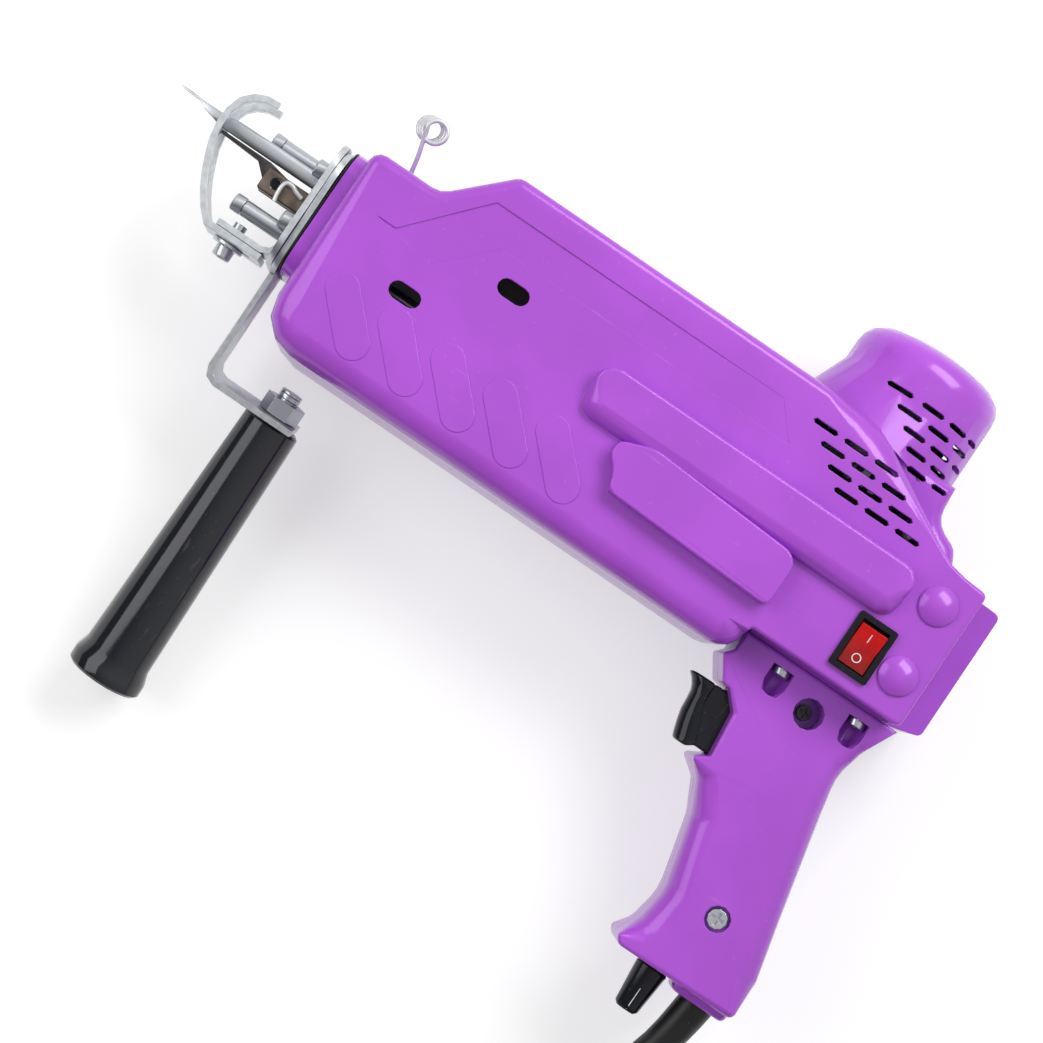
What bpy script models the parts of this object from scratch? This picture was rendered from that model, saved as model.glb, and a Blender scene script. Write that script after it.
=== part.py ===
"""Handheld tufting machine with its covers, drive train, tufting head, swinging handle and lead.

Metres. +X points to the rear of the machine, +Y up towards the motor bump and +Z to its left side.
The origin lies on the outer face of the right side's rail, below the crossing of the needle's axis
and the motor's axis, so the machine lies on its right side as if put down on a table.
"""
import math

import bmesh
import bpy
from mathutils import Matrix, Vector

MM = 0.001
DEGREE = math.pi / 180

# Clearances
FIT = 0.3 * MM
OVERRUN = 4 * MM
SUNK = 1 * MM

# Housing: half thickness, walls and rails
BODY_HALF = 35 * MM
RAIL_RISE = 6 * MM
WALL = 2.5 * MM
SEAM_Z = BODY_HALF + RAIL_RISE

# Housing: side outline
BODY_REACH = 199.5 * MM
BODY_TOP = 37 * MM
NOSE_TOP = 17.5 * MM
PEAK_SET = 45.5 * MM
PEAK_X = BODY_REACH - PEAK_SET
BODY_REAR = 54 * MM
REAR_TOP = 9 * MM
REAR_BOTTOM = 44.5 * MM
BELLY_BOTTOM = 56 * MM
BELLY_REAR = 6 * MM
FLANGE_STEP = 13 * MM
FLANGE_RISE = 3.5 * MM
EDGE_ROUND = 3.5 * MM
CRISP_EDGE = 1.2 * MM
EDGE_LEAST = 0.4 * MM
BELLY_ROUND = 8 * MM
CHIN_ROUND = 15 * MM

# Motor bump
BUMP_RADIUS = 27.7 * MM
BUMP_TOP = 71.6 * MM
BUMP_FOOT = 6 * MM
SKIRT_TOP = 50 * MM
SKIRT_FOOT = 33 * MM
SKIRT_SPREAD = 3.6 * MM

# Collar and the stack of plates on the nose
COLLAR_SIZE = 48.5 * MM
COLLAR_ROUND = 10 * MM
COLLAR_LENGTH = 4.8 * MM
COLLAR_DROP = 9.6 * MM
BOSS_RADIUS = 21 * MM
GASKET_THICKNESS = 0.6 * MM
PLATE_THICKNESS = 2.2 * MM
NOSE_OPENING_WIDTH = 17 * MM
NOSE_OPENING_TOP = 8.5 * MM
NOSE_OPENING_BOTTOM = 13.5 * MM

# Rails, ovals, oil windows, vents, domes and raised lines of the side faces
RAIL_WIDTH = 19.5 * MM
RAIL_REAR = 31 * MM
RAIL_LENGTH = 127 * MM
RAIL_DROP = 7.75 * MM
RAIL_ROUND = 6.2 * MM
RAIL_TOP_ROUND = 1.2 * MM
LOW_RAIL_LENGTH = 71.5 * MM
LOW_RAIL_WIDTH = 22.5 * MM
LOW_RAIL_REAR = 6.2 * MM
LOW_RAIL_DROP = 13.7 * MM
LOW_RAIL_ROUND = 1.6 * MM
OVAL_LENGTH = 30 * MM
OVAL_WIDTH = 11.6 * MM
OVAL_DEPTH = 0.6 * MM
OVAL_PITCH = 21.2 * MM
OVAL_FIRST_X = 175.7 * MM
OVAL_DROP = 34.5 * MM
OVAL_TILT = -46 * DEGREE
OVAL_COUNT = 5
BAND_DEPTH = 0.4 * MM
WINDOW_LENGTH = 12 * MM
WINDOW_WIDTH = 6.3 * MM
WINDOW_PLACES = ((-164 * MM, -17.8 * MM), (-134.5 * MM, 3.3 * MM))
VENT_LENGTH = 10 * MM
VENT_WIDTH = 1.9 * MM
VENT_PITCH_X = 12.3 * MM
VENT_PITCH_Y = 5.15 * MM
VENT_FIRST_Y = 25.1 * MM
VENT_ROW_STARTS = (-22.7 * MM, -16.4 * MM, -10.2 * MM, -4.1 * MM)
BUMP_VENT_FIRST_Y = 51 * MM
BUMP_VENT_ROWS = (
    ((-8.2 * MM, 10.3 * MM), (5.1 * MM, 9.6 * MM), (16 * MM, 8 * MM), (23.6 * MM, 4.5 * MM)),
    ((-1.3 * MM, 10.3 * MM), (11 * MM, 9.4 * MM), (21 * MM, 7 * MM)),
    ((4 * MM, 9.6 * MM), (15.4 * MM, 9 * MM), (24 * MM, 4.6 * MM)),
    ((8.3 * MM, 9 * MM), (18.6 * MM, 7.6 * MM)),
    ((12.3 * MM, 8.5 * MM), (21.8 * MM, 6.5 * MM)),
)
DOME_RADIUS = 6.8 * MM
DOME_RISE = 2.8 * MM
DOME_STEP = 0.7 * MM
DOME_PLACES = ((42 * MM, -3.5 * MM), (43.8 * MM, -30.4 * MM))

# Power switch
BEZEL_LENGTH = 21 * MM
BEZEL_WIDTH = 15 * MM
BEZEL_RISE = 1.6 * MM
BEZEL_LIP = 2 * MM
SWITCH_DEPTH = 18 * MM
SWITCH_PLACE = (28.8 * MM, -29.2 * MM)
ROCKER_LENGTH = 15 * MM
ROCKER_WIDTH = 10 * MM
ROCKER_DEPTH = 5 * MM
ROCKER_TILT = 10 * DEGREE

# Pistol grip
GRIP_UNIT = 100 * MM
GRIP_HALF = 18.5 * MM
GRIP_ROUND = 8.5 * MM
GRIP_CORNER = 2.5 * MM
GRIP_SCREW_HIGH = (28.3 * MM, -57 * MM)
GRIP_SCREW_LOW = (41.4 * MM, -131.8 * MM)
GRIP_HOLE_HIGH = 5.5 * MM
GRIP_HOLE_LOW = 4.7 * MM
GRIP_HOLE_HIGH_DEPTH = 15 * MM
GRIP_HEAD_HIGH = 2.9 * MM
GRIP_HOLE_LOW_DEPTH = 3 * MM
GRIP_SCREW_BITE = 9 * MM
POCKET_RADIUS = 4.3 * MM
POCKET_DEPTH = 10.5 * MM
POCKET_ROOF = 4.5 * MM
POCKET_BACK = 6.5 * MM
POCKET_PLACES = {"front": (13 * MM, 14.5 * MM), "rear": (44 * MM, 14.5 * MM)}
FLANGE_SCREW_LENGTH = 12 * MM
FLANGE_SCREW_SIZES = (3.2 * MM, 2.4 * MM, 1.9 * MM)

# Trigger and the switch behind it
TRIGGER_HALF = 6.5 * MM
TRIGGER_UNIT = 25 * MM
TRIGGER_PULL = 5 * MM
TRIGGER_X = -12.3 * MM
TRIGGER_Y = -64.8 * MM
TRIGGER_SWITCH_SIZE = (14 * MM, 26 * MM, 16 * MM)

# Speed knob with its potentiometer
KNOB_X = 34.5 * MM
KNOB_LENGTH = 17.3 * MM
KNOB_RADIUS = 6.1 * MM
KNOB_TIP_RADIUS = 4.6 * MM
KNOB_FLUTES = 6
FLUTE_RADIUS = 0.9 * MM
POT_RADIUS = 8 * MM
POT_DEPTH = 9 * MM
POT_SHAFT_RADIUS = 2 * MM
GRIP_FOOT = 157.5 * MM

# Lead: boot, free tube, coil and plug, in real sizes
BOOT_RADIUS = 6.2 * MM
BOOT_TIP_RADIUS = 5.2 * MM
BOOT_X = 53.9 * MM
CORD_RADIUS = 3.5 * MM
COIL_TURNS = 3
COIL_LOOP_POINTS = 16
COIL_OUTER = 54.5 * MM
COIL_PITCH = 7.6 * MM
COIL_CENTRE = (-4 * MM, -300 * MM)
COIL_TAIL = 46 * MM
CORD_STEPS = 3
CORD_ROUTE = (
    (0.0475, -0.185, 0.041),
    (0.0458, -0.1918, 0.041),
    (0.0453, -0.206, 0.0375),
    (0.0462, -0.222, 0.0265),
    (0.0488, -0.240, 0.0125),
    (0.0502, -0.258, 0.0050),
    (0.0505, -0.276, 0.0035),
)
BOOT_DROP = 4.2 * MM
BOOT_SEAT = 2.1 * MM
BOOT_SEAT_WIDTH = 17 * MM
BOOT_SEAT_HALF = 8.5 * MM
BOOT_ROOT = 4 * MM
PLUG_ROUND = 3 * MM
PLUG_LENGTH = 36 * MM
PLUG_WIDTH = 30 * MM
PIN_RADIUS = 2.4 * MM
PIN_LENGTH = 19 * MM
PIN_SPACING = 19 * MM

# Drive train
CRANK_RADIUS = 13 * MM
ROD_LENGTH = 70 * MM
ROD_THICKNESS = 5 * MM
ROD_WIDTH = 9 * MM
GEAR_RADIUS = 24 * MM
GEAR_THICKNESS = 6 * MM
GEAR_TEETH = 18
PINION_TEETH = 6
TOOTH_DEPTH = 2 * MM
PINION_LENGTH = 6 * MM
MOTOR_RADIUS = 19.5 * MM
MOTOR_GAP = 5 * MM
MOTOR_START = GEAR_RADIUS + MOTOR_GAP
MOTOR_LENGTH = 37 * MM
SHAFT_RADIUS = 2.5 * MM
BAR_RADIUS = 4 * MM
BAR_REACH = 2.3 * MM
BAR_SOCKET = 14 * MM
SLIDER_LENGTH = 26 * MM
SLIDER_SIDE = 16 * MM
PIN_BAR_RADIUS = 3 * MM
BUSH_RADIUS = 7.5 * MM
BUSH_LENGTH = 18 * MM
REAR_BUSH_GAP = 8 * MM
STROKE = 2 * CRANK_RADIUS
FRAME_PLATE = 4 * MM
FRAME_WIDTH = 34 * MM
CUTTER_ROD_RADIUS = 2.5 * MM
CUTTER_ROD_Y = -17.3 * MM
CUTTER_STROKE = 6 * MM
CUTTER_REACH = 4 * MM
BOARD_CHIPS = 3
BOARD_SIZE = (34 * MM, 16 * MM, 1.6 * MM)

# Tufting head
NEEDLE_RADIUS = 2.8 * MM
NEEDLE_UNIT = 60 * MM
NEEDLE_REACH = 57.2 * MM
NEEDLE_BLADE = 2 * MM
NEEDLE_BORE = 22 * MM
CLAMP_SCREW_SIZES = (1.9 * MM, 2.2 * MM, 0.9 * MM)
POST_BORE = 8 * MM
POST_RADIUS = 3 * MM
POST_UPPER = (23.7 * MM, 5 * MM, -14 * MM)
POST_LOWER = (20.8 * MM, -21.8 * MM, 7 * MM)
POST_HEAD_LENGTH = 3.5 * MM
SCREW_HEAD_RADIUS = 3.3 * MM
SCREW_HEAD_LENGTH = 4 * MM
SCREW_RADIUS = 1.9 * MM
PLATE_SCREW_SPREAD_Y = 21 * MM
PLATE_SCREW_SPREAD_Z = 28 * MM
PLATE_SCREW_DROP = 7.5 * MM
PLATE_SCREW_LENGTH = 12 * MM
HOLDER_LENGTH = 18 * MM
HOLDER_TOP = -5.2 * MM
HOLDER_HEIGHT = 8.2 * MM
HOLDER_WIDTH = 10 * MM
BLADE_THICKNESS = 1.2 * MM
BLADE_HEIGHT = 6 * MM
BLADE_REACH = 41.8 * MM
HOOK_WIRE = 0.6 * MM
FOOT_THICKNESS = 2.4 * MM
FOOT_WIDTH = 25 * MM
FOOT_SLOT = 15 * MM
FOOT_FORWARD = 6 * MM
FOOT_BACK = 2 * MM
FOOT_LEG_GAP = 2.8 * MM
ARM_DROP = 31.9 * MM
ARM_REACH = 21.8 * MM
ARM_WIDTH = 22 * MM
FOOT_BOLT_SET = 15.3 * MM
FOOT_BOLT_RADIUS = 2.4 * MM
FOOT_BOLT_LENGTH = 9.5 * MM
FOOT_REACH = 40.3 * MM
FOOT_HEIGHT = 46.5 * MM
WASHER_THICKNESS = 1.2 * MM

# Swinging front handle
HANDLE_STRIP = 25 * MM
HANDLE_ARM_BOTTOM = 77 * MM
HANDLE_LEG = 36.7 * MM
HANDLE_SET = 28.7 * MM
HANDLE_RADIUS = 10.5 * MM
HANDLE_END_RADIUS = 12.5 * MM
HANDLE_RIM = 14 * MM
HANDLE_LENGTH = 108 * MM
HANDLE_BOLT_RADIUS = 4 * MM
HANDLE_BOLT_GRIP = 20 * MM
HANDLE_BOLT_TIP = 3.4 * MM
HANDLE_RIM_LENGTH = 5 * MM
BOLT_RINGS = 2
BOLT_THREAD_PITCH = 1.8 * MM
NUT_RADIUS = 7.5 * MM
NUT_HEIGHT = 6 * MM
HANDLE_SWING = 8.5 * DEGREE

# Yarn guide on the top edge
GUIDE_WIRE = 0.85 * MM
GUIDE_EYE = 5 * MM
GUIDE_TURNS = 3
GUIDE_PITCH = 2.3 * MM
GUIDE_SET = 9.5 * MM
GUIDE_EYE_Y = 38.1 * MM
GUIDE_Z = -11 * MM
GUIDE_SCREW_RADIUS = 3.6 * MM
GUIDE_SCREW_LENGTH = 6 * MM
GUIDE_RUN = 7 * MM

# Levels worked out from the sizes above
COLLAR_FRONT = -BODY_REACH - COLLAR_LENGTH
GASKET_BACK = COLLAR_FRONT - FIT
RING_BACK = GASKET_BACK - GASKET_THICKNESS - FIT
RING_FRONT = RING_BACK - PLATE_THICKNESS
PLATE_BACK = RING_FRONT - FIT
PLATE_FRONT = PLATE_BACK - PLATE_THICKNESS
ROD_BASE = SEAM_Z - ROD_THICKNESS / 2
GEAR_TOP = SEAM_Z - GEAR_RADIUS * PINION_TEETH / GEAR_TEETH - FIT
FRAME_TOP = GEAR_TOP - GEAR_THICKNESS - FIT
FRAME_BASE = FRAME_TOP - FRAME_PLATE
WRIST_X = -CRANK_RADIUS - ROD_LENGTH
REAR_BUSH_X = WRIST_X - SLIDER_LENGTH / 2 - REAR_BUSH_GAP - BUSH_LENGTH
BAR_FRONT = PLATE_FRONT - BAR_REACH
NEEDLE_FRONT = BAR_FRONT - NEEDLE_REACH
FRONT_BUSH_X = BAR_FRONT + BAR_SOCKET / 2 + STROKE + CLAMP_SCREW_SIZES[0] + 4 * FIT
FOOT_BOLT_X = PLATE_FRONT - FOOT_BOLT_SET
HANDLE_X = RING_FRONT + HANDLE_SET
GUIDE_X = GUIDE_SET - BODY_REACH

# Shapes as shares of the sizes that they follow
SHOULDER_START_SHARE = -0.2
SHOULDER_END_SHARE = 0.7
RAIL_END_SHARE = 0.33
VENT_FLOOR_SHARE = 0.3
VENT_COLUMNS = 3
BUMP_DOME_SHARES = (
    (0.54, 0.012),
    (0.79, 0.075),
    (0.92, 0.16),
    (0.98, 0.27),
    (1, 0.4),
)
SHOULDER_SHARES = (
    (0.97, 1.25, 0, 0.16),
    (1.01, 0.78, 0.3, 0.16),
    (1.38, 0.62, 0.2, 0.16),
    (1.52, 0.28, 0, 0.03),
    (0.3, 0.28, 0, 0.03),
    (0.3, 1.25, 0, 0.16),
)
SHOULDER_HEIGHT_SHARE = 0.86
LOW_RAIL_SHARES = (
    (0.997, 0.196, 0.03),
    (0.834, 0, 0),
    (0.049, 0.133, 0.08),
    (0, 0.27, 0),
    (0, 0.94, 0.1),
    (0.06, 0.99, 0),
    (0.912, 0.902, 0.04),
    (0.936, 0.64, 0),
    (1, 0.413, 0),
)
BAND_SHARES = (
    (-0.937, -0.03),
    (-0.897, -0.03),
    (-0.781, 0.678),
    (-0.2, 0.678),
    (-0.15, 0.357),
    (-0.73, 0.357),
    (-0.815, -0.12),
)
FRAME_TOP_SHARE = 0.8
FLANGE_FOOT_SHARE = 0.8
ROD_EYE_SHARE = 0.72
NEEDLE_TUBE_SHARE = 0.11
NEEDLE_BORE_SHARE = 0.62
NEEDLE_SHARES = (
    (0, 0.93),
    (0, 0.5),
    (0.108, -0.14),
    (0.2, -0.4),
    (0.2, 0.93),
)
NEEDLE_SLANT_SHARES = (
    (0.05, -1.6),
    (0.05, -0.14),
    (0.108, -0.14),
    (0.3, -1),
    (0.3, -1.6),
)
HOLDER_PIVOT_SHARE = 0.45
BLADE_SHARES = (
    (1, 0.92),
    (0.97, 0.76),
    (0.35, 0.6),
    (0.1, -0.5),
    (-0.3, -0.5),
    (-0.3, 0.45),
    (0.2, 0.92),
)
HOOK_SHARES = (
    (0.12, 0.38),
    (0.55, 0.1),
    (0.62, 0.3),
    (0.64, 1.1),
)
BEND_SHARE = 0.6
FOOT_SHARES = (
    (0.608, 0),
    (0.7, 0.08),
    (0.79, 0.19),
    (0.86, 0.3),
    (0.92, 0.42),
    (0.965, 0.53),
    (0.988, 0.65),
    (0.985, 0.77),
    (0.945, 0.88),
    (0.87, 0.95),
    (0.77, 0.99),
    (0.658, 1),
)
FORK_SHARE = 0.24
HANDLE_HOLLOW_SHARE = 0.7
THREAD_ROOT_SHARE = 0.86
GRIP_SHARES = (
    (-0.048, -0.53, 0.006, 0.15),
    (-0.075, -0.56, 0.012, 0.15),
    (-0.02, -0.643, 0.01, 0.12),
    (0.015, -0.65, 0.008, 0.12),
    (0.07, -0.71, 0.02, 0.2),
    (0.087, -0.874, 0.01, 0.12),
    (0.032, -0.905, 0.012, 0.12),
    (0.1, -0.965, 0.04, 0.8),
    (0.155, -1.08, 0.12, 1),
    (0.222, -1.35, 0.2, 1),
    (0.2, -1.475, 0.1, 0.9),
    (0.162, -1.545, 0.015, 0.15),
)
GRIP_FOOT_SHARES = (
    (0.18, 0.15),
    (0.645, 0.25),
)
GRIP_BACK_SHARES = (
    (0.657, -1.43, 0.1, 1),
    (0.6, -1.19, 0.3, 1),
    (0.522, -0.84, 0.3, 1),
    (0.49, -0.7, 0.2, 0.8),
    (0.508, -0.585, 0.1, 0.4),
)
GRIP_TOP_SHARE = 0.57
POCKET_SHARES = (
    (1, 0),
    (1, 0.6),
    (0.7, 0.93),
    (0, 1),
)
TRIGGER_FOOT_SHARE = 0.86
TRIGGER_DEPTH_SHARE = 0.93
TRIGGER_SHARES = (
    (0, 0.04),
    (0.05, 0),
    (0.93, 0),
    (0.93, 0.856),
    (0.57, 0.856),
    (0.45, 0.936),
    (0.36, 0.936),
    (0.28, 0.75),
    (0.19, 0.5),
    (0.16, 0.35),
    (0.16, 0.22),
    (0.02, 0.11),
)
TRIGGER_CHANNEL_SHARES = (
    (0.27, 0.16),
    (0.42, 0.16),
    (0.42, 0.5),
    (0.5, 0.78),
    (0.37, 0.78),
    (0.29, 0.5),
    (0.27, 0.36),
)
FLUTE_LEAN_SHARE = 0.1
NEIGHBOUR_SHARE = 0.5

WIDE_SIDES = 24
ROUND_SIDES = 20
SMALL_SIDES = 12
SCREW_SIDES = 10
ARC_STEPS = 3
EDGE_STEPS = 3
SLOT_STEPS = 2
CURL_POINTS = 10
CHAMFER_SHARE = 0.12
SOCKET_SHARE = 0.55
CROSS_ARM_SHARE = 0.62
CROSS_HALF_SHARE = 0.15

MATERIALS = {
    "purple_plastic": ((0.43, 0.09, 0.66), 0.28, 0.0),
    "black_plastic": ((0.014, 0.014, 0.016), 0.3, 0.0),
    "red_plastic": ((0.75, 0.015, 0.02), 0.3, 0.0),
    "zinc_steel": ((0.62, 0.63, 0.65), 0.3, 1.0),
    "dark_steel": ((0.3, 0.29, 0.28), 0.38, 1.0),
    "brass": ((0.72, 0.5, 0.22), 0.35, 1.0),
    "cast_metal": ((0.5, 0.5, 0.52), 0.5, 1.0),
    "black_rubber": ((0.018, 0.018, 0.02), 0.65, 0.0),
    "board_green": ((0.03, 0.2, 0.09), 0.5, 0.0),
}

FACING = {
    "X": Matrix(((0, 0, 1, 0), (1, 0, 0, 0), (0, 1, 0, 0), (0, 0, 0, 1))),
    "Y": Matrix(((0, 1, 0, 0), (0, 0, 1, 0), (1, 0, 0, 0), (0, 0, 0, 1))),
    "Z": Matrix.Identity(4),
}


def start_scene():
    """Empties the scene and adds the two collections, for the parts and for the cutters."""
    for item in list(bpy.data.objects):
        bpy.data.objects.remove(item)
    for name in ("tufting_machine", "cutters"):
        collection = bpy.data.collections.new(name)
        bpy.context.scene.collection.children.link(collection)


def add(name, mesh, matrix=None):
    """Links a new mesh object into the cutters, from where a finished part moves to the parts."""
    item = bpy.data.objects.new(name, mesh)
    if matrix is not None:
        item.matrix_world = matrix
    bpy.data.collections["cutters"].objects.link(item)
    item.hide_render = True
    item.display_type = "WIRE"
    return item


def from_bmesh(name, form, matrix=None):
    bmesh.ops.recalc_face_normals(form, faces=form.faces)
    mesh = bpy.data.meshes.new(name)
    form.to_mesh(mesh)
    form.free()
    return add(name, mesh, matrix)


def from_curve(name, curve, matrix=None):
    """Turns a curve into a closed mesh object at the curve's place and removes the curve."""
    carrier = bpy.data.objects.new(name, curve)
    if matrix is not None:
        carrier.matrix_world = matrix
    bpy.context.scene.collection.objects.link(carrier)
    depsgraph = bpy.context.evaluated_depsgraph_get()
    mesh = bpy.data.meshes.new_from_object(carrier.evaluated_get(depsgraph))
    form = bmesh.new()
    form.from_mesh(mesh)
    bmesh.ops.remove_doubles(form, verts=form.verts, dist=SUNK * MM)
    item = from_bmesh(name, form, carrier.matrix_world.copy())
    bpy.data.meshes.remove(mesh)
    bpy.data.objects.remove(carrier)
    bpy.data.curves.remove(curve)
    return item


def circle(x, y, radius, sides=ROUND_SIDES):
    turns = [2 * math.pi * index / sides for index in range(sides)]
    return [(x + radius * math.cos(turn), y + radius * math.sin(turn)) for turn in turns]


def corner_arc(before, here, after, radius):
    """Points of the arc that rounds one corner of an outline."""
    here = Vector(here)
    back = (Vector(before) - here).normalized()
    ahead = (Vector(after) - here).normalized()
    half = back.angle(ahead) / 2
    if radius == 0:
        return [here]
    centre = here + (back + ahead).normalized() * radius / math.sin(half)
    start = here + back * radius / math.tan(half) - centre
    end = here + ahead * radius / math.tan(half) - centre
    first = math.atan2(start.y, start.x)
    swing = (math.atan2(end.y, end.x) - first + math.pi) % (2 * math.pi) - math.pi
    steps = max(2, math.ceil(abs(swing) / (math.pi / 2) * ARC_STEPS))
    turns = [first + swing * step / steps for step in range(steps + 1)]
    return [centre + radius * Vector((math.cos(turn), math.sin(turn))) for turn in turns]


def rounded(corners):
    """Outline with rounded corners, each given as x, y and radius."""
    outline = []
    for index, (x, y, radius) in enumerate(corners):
        before = corners[index - 1][:2]
        after = corners[(index + 1) % len(corners)][:2]
        outline += [tuple(point) for point in corner_arc(before, (x, y), after, radius)]
    return outline


def rectangle(x, y, width, height, radius=0):
    """Outline of a rectangle about a centre, with rounded corners where a radius is given."""
    spots = ((-1, -1), (1, -1), (1, 1), (-1, 1))
    return rounded([(x + width / 2 * right, y + height / 2 * up, radius) for right, up in spots])


def obround(x, y, length, width, tilt=0, steps=2 * ARC_STEPS):
    """Outline of a slot with round ends about a centre."""
    points = []
    for side in (1, -1):
        for step in range(steps + 1):
            turn = math.pi * (step / steps - 1 / 2)
            along = side * ((length - width) / 2 + width / 2 * math.cos(turn))
            across = side * width / 2 * math.sin(turn)
            points.append((
                x + along * math.cos(tilt) - across * math.sin(tilt),
                y + along * math.sin(tilt) + across * math.cos(tilt),
            ))
    return points


def strip(points, thickness):
    """Outline of a bent strip of even thickness whose middle line is given."""
    middle = [Vector(point) for point in points]
    sides = ([], [])
    for index, here in enumerate(middle):
        back = (here - middle[index - 1]).normalized() if index else None
        ahead = (middle[index + 1] - here).normalized() if index + 1 < len(middle) else None
        along = ((back or ahead) + (ahead or back)).normalized()
        lean = along.dot(ahead or back)
        across = Vector((-along.y, along.x)) * thickness / 2 / lean
        sides[0].append(tuple(here + across))
        sides[1].append(tuple(here - across))
    return sides[0] + sides[1][::-1]


def slab(name, outline, low, high, facing="Z", holes=()):
    """Flat piece from a closed outline; facing is the axis that it is extruded along."""
    curve = bpy.data.curves.new(name, "CURVE")
    curve.dimensions = "2D"
    curve.fill_mode = "BOTH"
    curve.extrude = abs(high - low) / 2
    for points in (outline, *holes):
        spline = curve.splines.new("POLY")
        spline.points.add(len(points) - 1)
        spline.use_cyclic_u = True
        for point, (x, y) in zip(spline.points, points):
            point.co = (x, y, 0, 1)
    return from_curve(name, curve, FACING[facing] @ Matrix.Translation((0, 0, (low + high) / 2)))


def box(name, low, high, bevel=0):
    """Block between two opposite corners, with bevelled edges where a width is given."""
    low, high = Vector(low), Vector(high)
    form = bmesh.new()
    scale = Matrix.Diagonal((*[abs(side) for side in high - low], 1))
    bmesh.ops.create_cube(form, size=1, matrix=scale)
    item = from_bmesh(name, form, Matrix.Translation((low + high) / 2))
    if bevel:
        modifier = item.modifiers.new("edges", "BEVEL")
        modifier.width = bevel
    return item


def aim(start, direction):
    """Matrix that puts the local +Z axis along a direction at a place."""
    turn = Vector((0, 0, 1)).rotation_difference(Vector(direction))
    return Matrix.Translation(start) @ turn.to_matrix().to_4x4()


def cylinder(name, start, direction, length, radius, sides=ROUND_SIDES, tip=None):
    """Straight or tapered cylinder from a start along a direction."""
    form = bmesh.new()
    bmesh.ops.create_cone(
        form,
        cap_ends=True,
        segments=sides,
        radius1=radius,
        radius2=radius if tip is None else tip,
        depth=length,
        matrix=Matrix.Translation((0, 0, length / 2)),
    )
    return from_bmesh(name, form, aim(start, direction))


def turned(name, profile, start, direction, sides=ROUND_SIDES):
    """Turned piece; its profile runs from the top to the foot as radius and height.

    A profile that comes back to its first point makes a ring.
    """
    form = bmesh.new()
    ring = profile[0] == profile[-1]
    points = [form.verts.new((radius, 0, height)) for radius, height in profile[: -1 if ring else None]]
    for first, second in zip(points, points[1:] + points[:1] if ring else points[1:]):
        form.edges.new((first, second))
    mesh = bpy.data.meshes.new(name)
    form.to_mesh(mesh)
    form.free()
    item = add(name, mesh, aim(start, direction))
    screw = item.modifiers.new("turn", "SCREW")
    screw.steps = sides
    screw.render_steps = sides
    screw.use_merge_vertices = True
    screw.merge_threshold = SUNK * MM
    screw.use_smooth_shade = True
    return item


def tube(name, points, radius, resolution=2):
    """Round wire or tube along points, with closed ends."""
    curve = bpy.data.curves.new(name, "CURVE")
    curve.dimensions = "3D"
    curve.bevel_depth = radius
    curve.bevel_resolution = resolution
    curve.use_fill_caps = True
    spline = curve.splines.new("POLY")
    spline.points.add(len(points) - 1)
    for point, place in zip(spline.points, points):
        point.co = (*place, 1)
    return from_curve(name, curve)


def combine(item, operation, others):
    for other in others:
        modifier = item.modifiers.new(operation.lower(), "BOOLEAN")
        modifier.operation = operation
        modifier.solver = "EXACT"
        modifier.object = other
    return item


def cut(item, *others):
    return combine(item, "DIFFERENCE", others)


def join(item, *others):
    return combine(item, "UNION", others)


def group(name, items):
    """One cutter that holds the shapes of several cutters that don't touch."""
    depsgraph = bpy.context.evaluated_depsgraph_get()
    form = bmesh.new()
    for item in items:
        mesh = bpy.data.meshes.new_from_object(item.evaluated_get(depsgraph))
        mesh.transform(item.matrix_world)
        form.from_mesh(mesh)
        bpy.data.meshes.remove(mesh)
        bpy.data.objects.remove(item)
    return from_bmesh(name, form)


def material(name):
    """Named material with the colour, roughness and metallic value of its table entry."""
    if name in bpy.data.materials:
        return bpy.data.materials[name]
    colour, roughness, metallic = MATERIALS[name]
    made = bpy.data.materials.new(name)
    made.use_nodes = True
    shader = made.node_tree.nodes["Principled BSDF"]
    shader.inputs["Base Color"].default_value = (*colour, 1)
    shader.inputs["Roughness"].default_value = roughness
    shader.inputs["Metallic"].default_value = metallic
    made.diffuse_color = (*colour, 1)
    return made


def bake(item):
    """Keeps an object's evaluated shape as its mesh and drops its modifiers."""
    depsgraph = bpy.context.evaluated_depsgraph_get()
    item.data = bpy.data.meshes.new_from_object(item.evaluated_get(depsgraph))
    item.modifiers.clear()


def finish(item, name, finish_name, pivot=None, swing=None):
    """Makes a shape a part: its name, material and collection, and its origin on its joint."""
    bake(item)
    item.name = name
    item.data.materials.clear()
    item.data.materials.append(material(finish_name))
    item.data.shade_smooth()
    item.data.set_sharp_from_angle(angle=math.pi / 6)
    bpy.data.collections["cutters"].objects.unlink(item)
    bpy.data.collections["tufting_machine"].objects.link(item)
    item.hide_render = False
    item.display_type = "TEXTURED"
    if pivot is not None:
        place = Matrix.Translation(pivot)
        item.data.transform(place.inverted() @ item.matrix_world)
        item.matrix_world = place
    if swing is not None:
        item.matrix_world = swing @ item.matrix_world
    return item


def screw(name, place, direction, length, sizes, drive="hex"):
    """Cap or pan head screw; place is the underside of its head and sizes are its three sizes."""
    head, head_length, radius = sizes
    chamfer = head_length * CHAMFER_SHARE
    profile = (
        (0, head_length),
        (head - chamfer, head_length),
        (head, head_length - chamfer),
        (head, 0),
        (radius, 0),
        (radius, -length),
        (0, -length),
    )
    item = turned(name, profile, place, -Vector(direction), SCREW_SIDES)
    depth = head_length * SOCKET_SHARE
    if drive == "hex":
        socket = circle(0, 0, head / 2, 6)
    else:
        socket = cross(head * CROSS_ARM_SHARE, head * CROSS_HALF_SHARE)
    cutter = slab(f"{name}_drive", socket, head_length - depth, head_length + OVERRUN)
    cutter.matrix_world = item.matrix_world @ cutter.matrix_world
    return cut(item, cutter)


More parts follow.
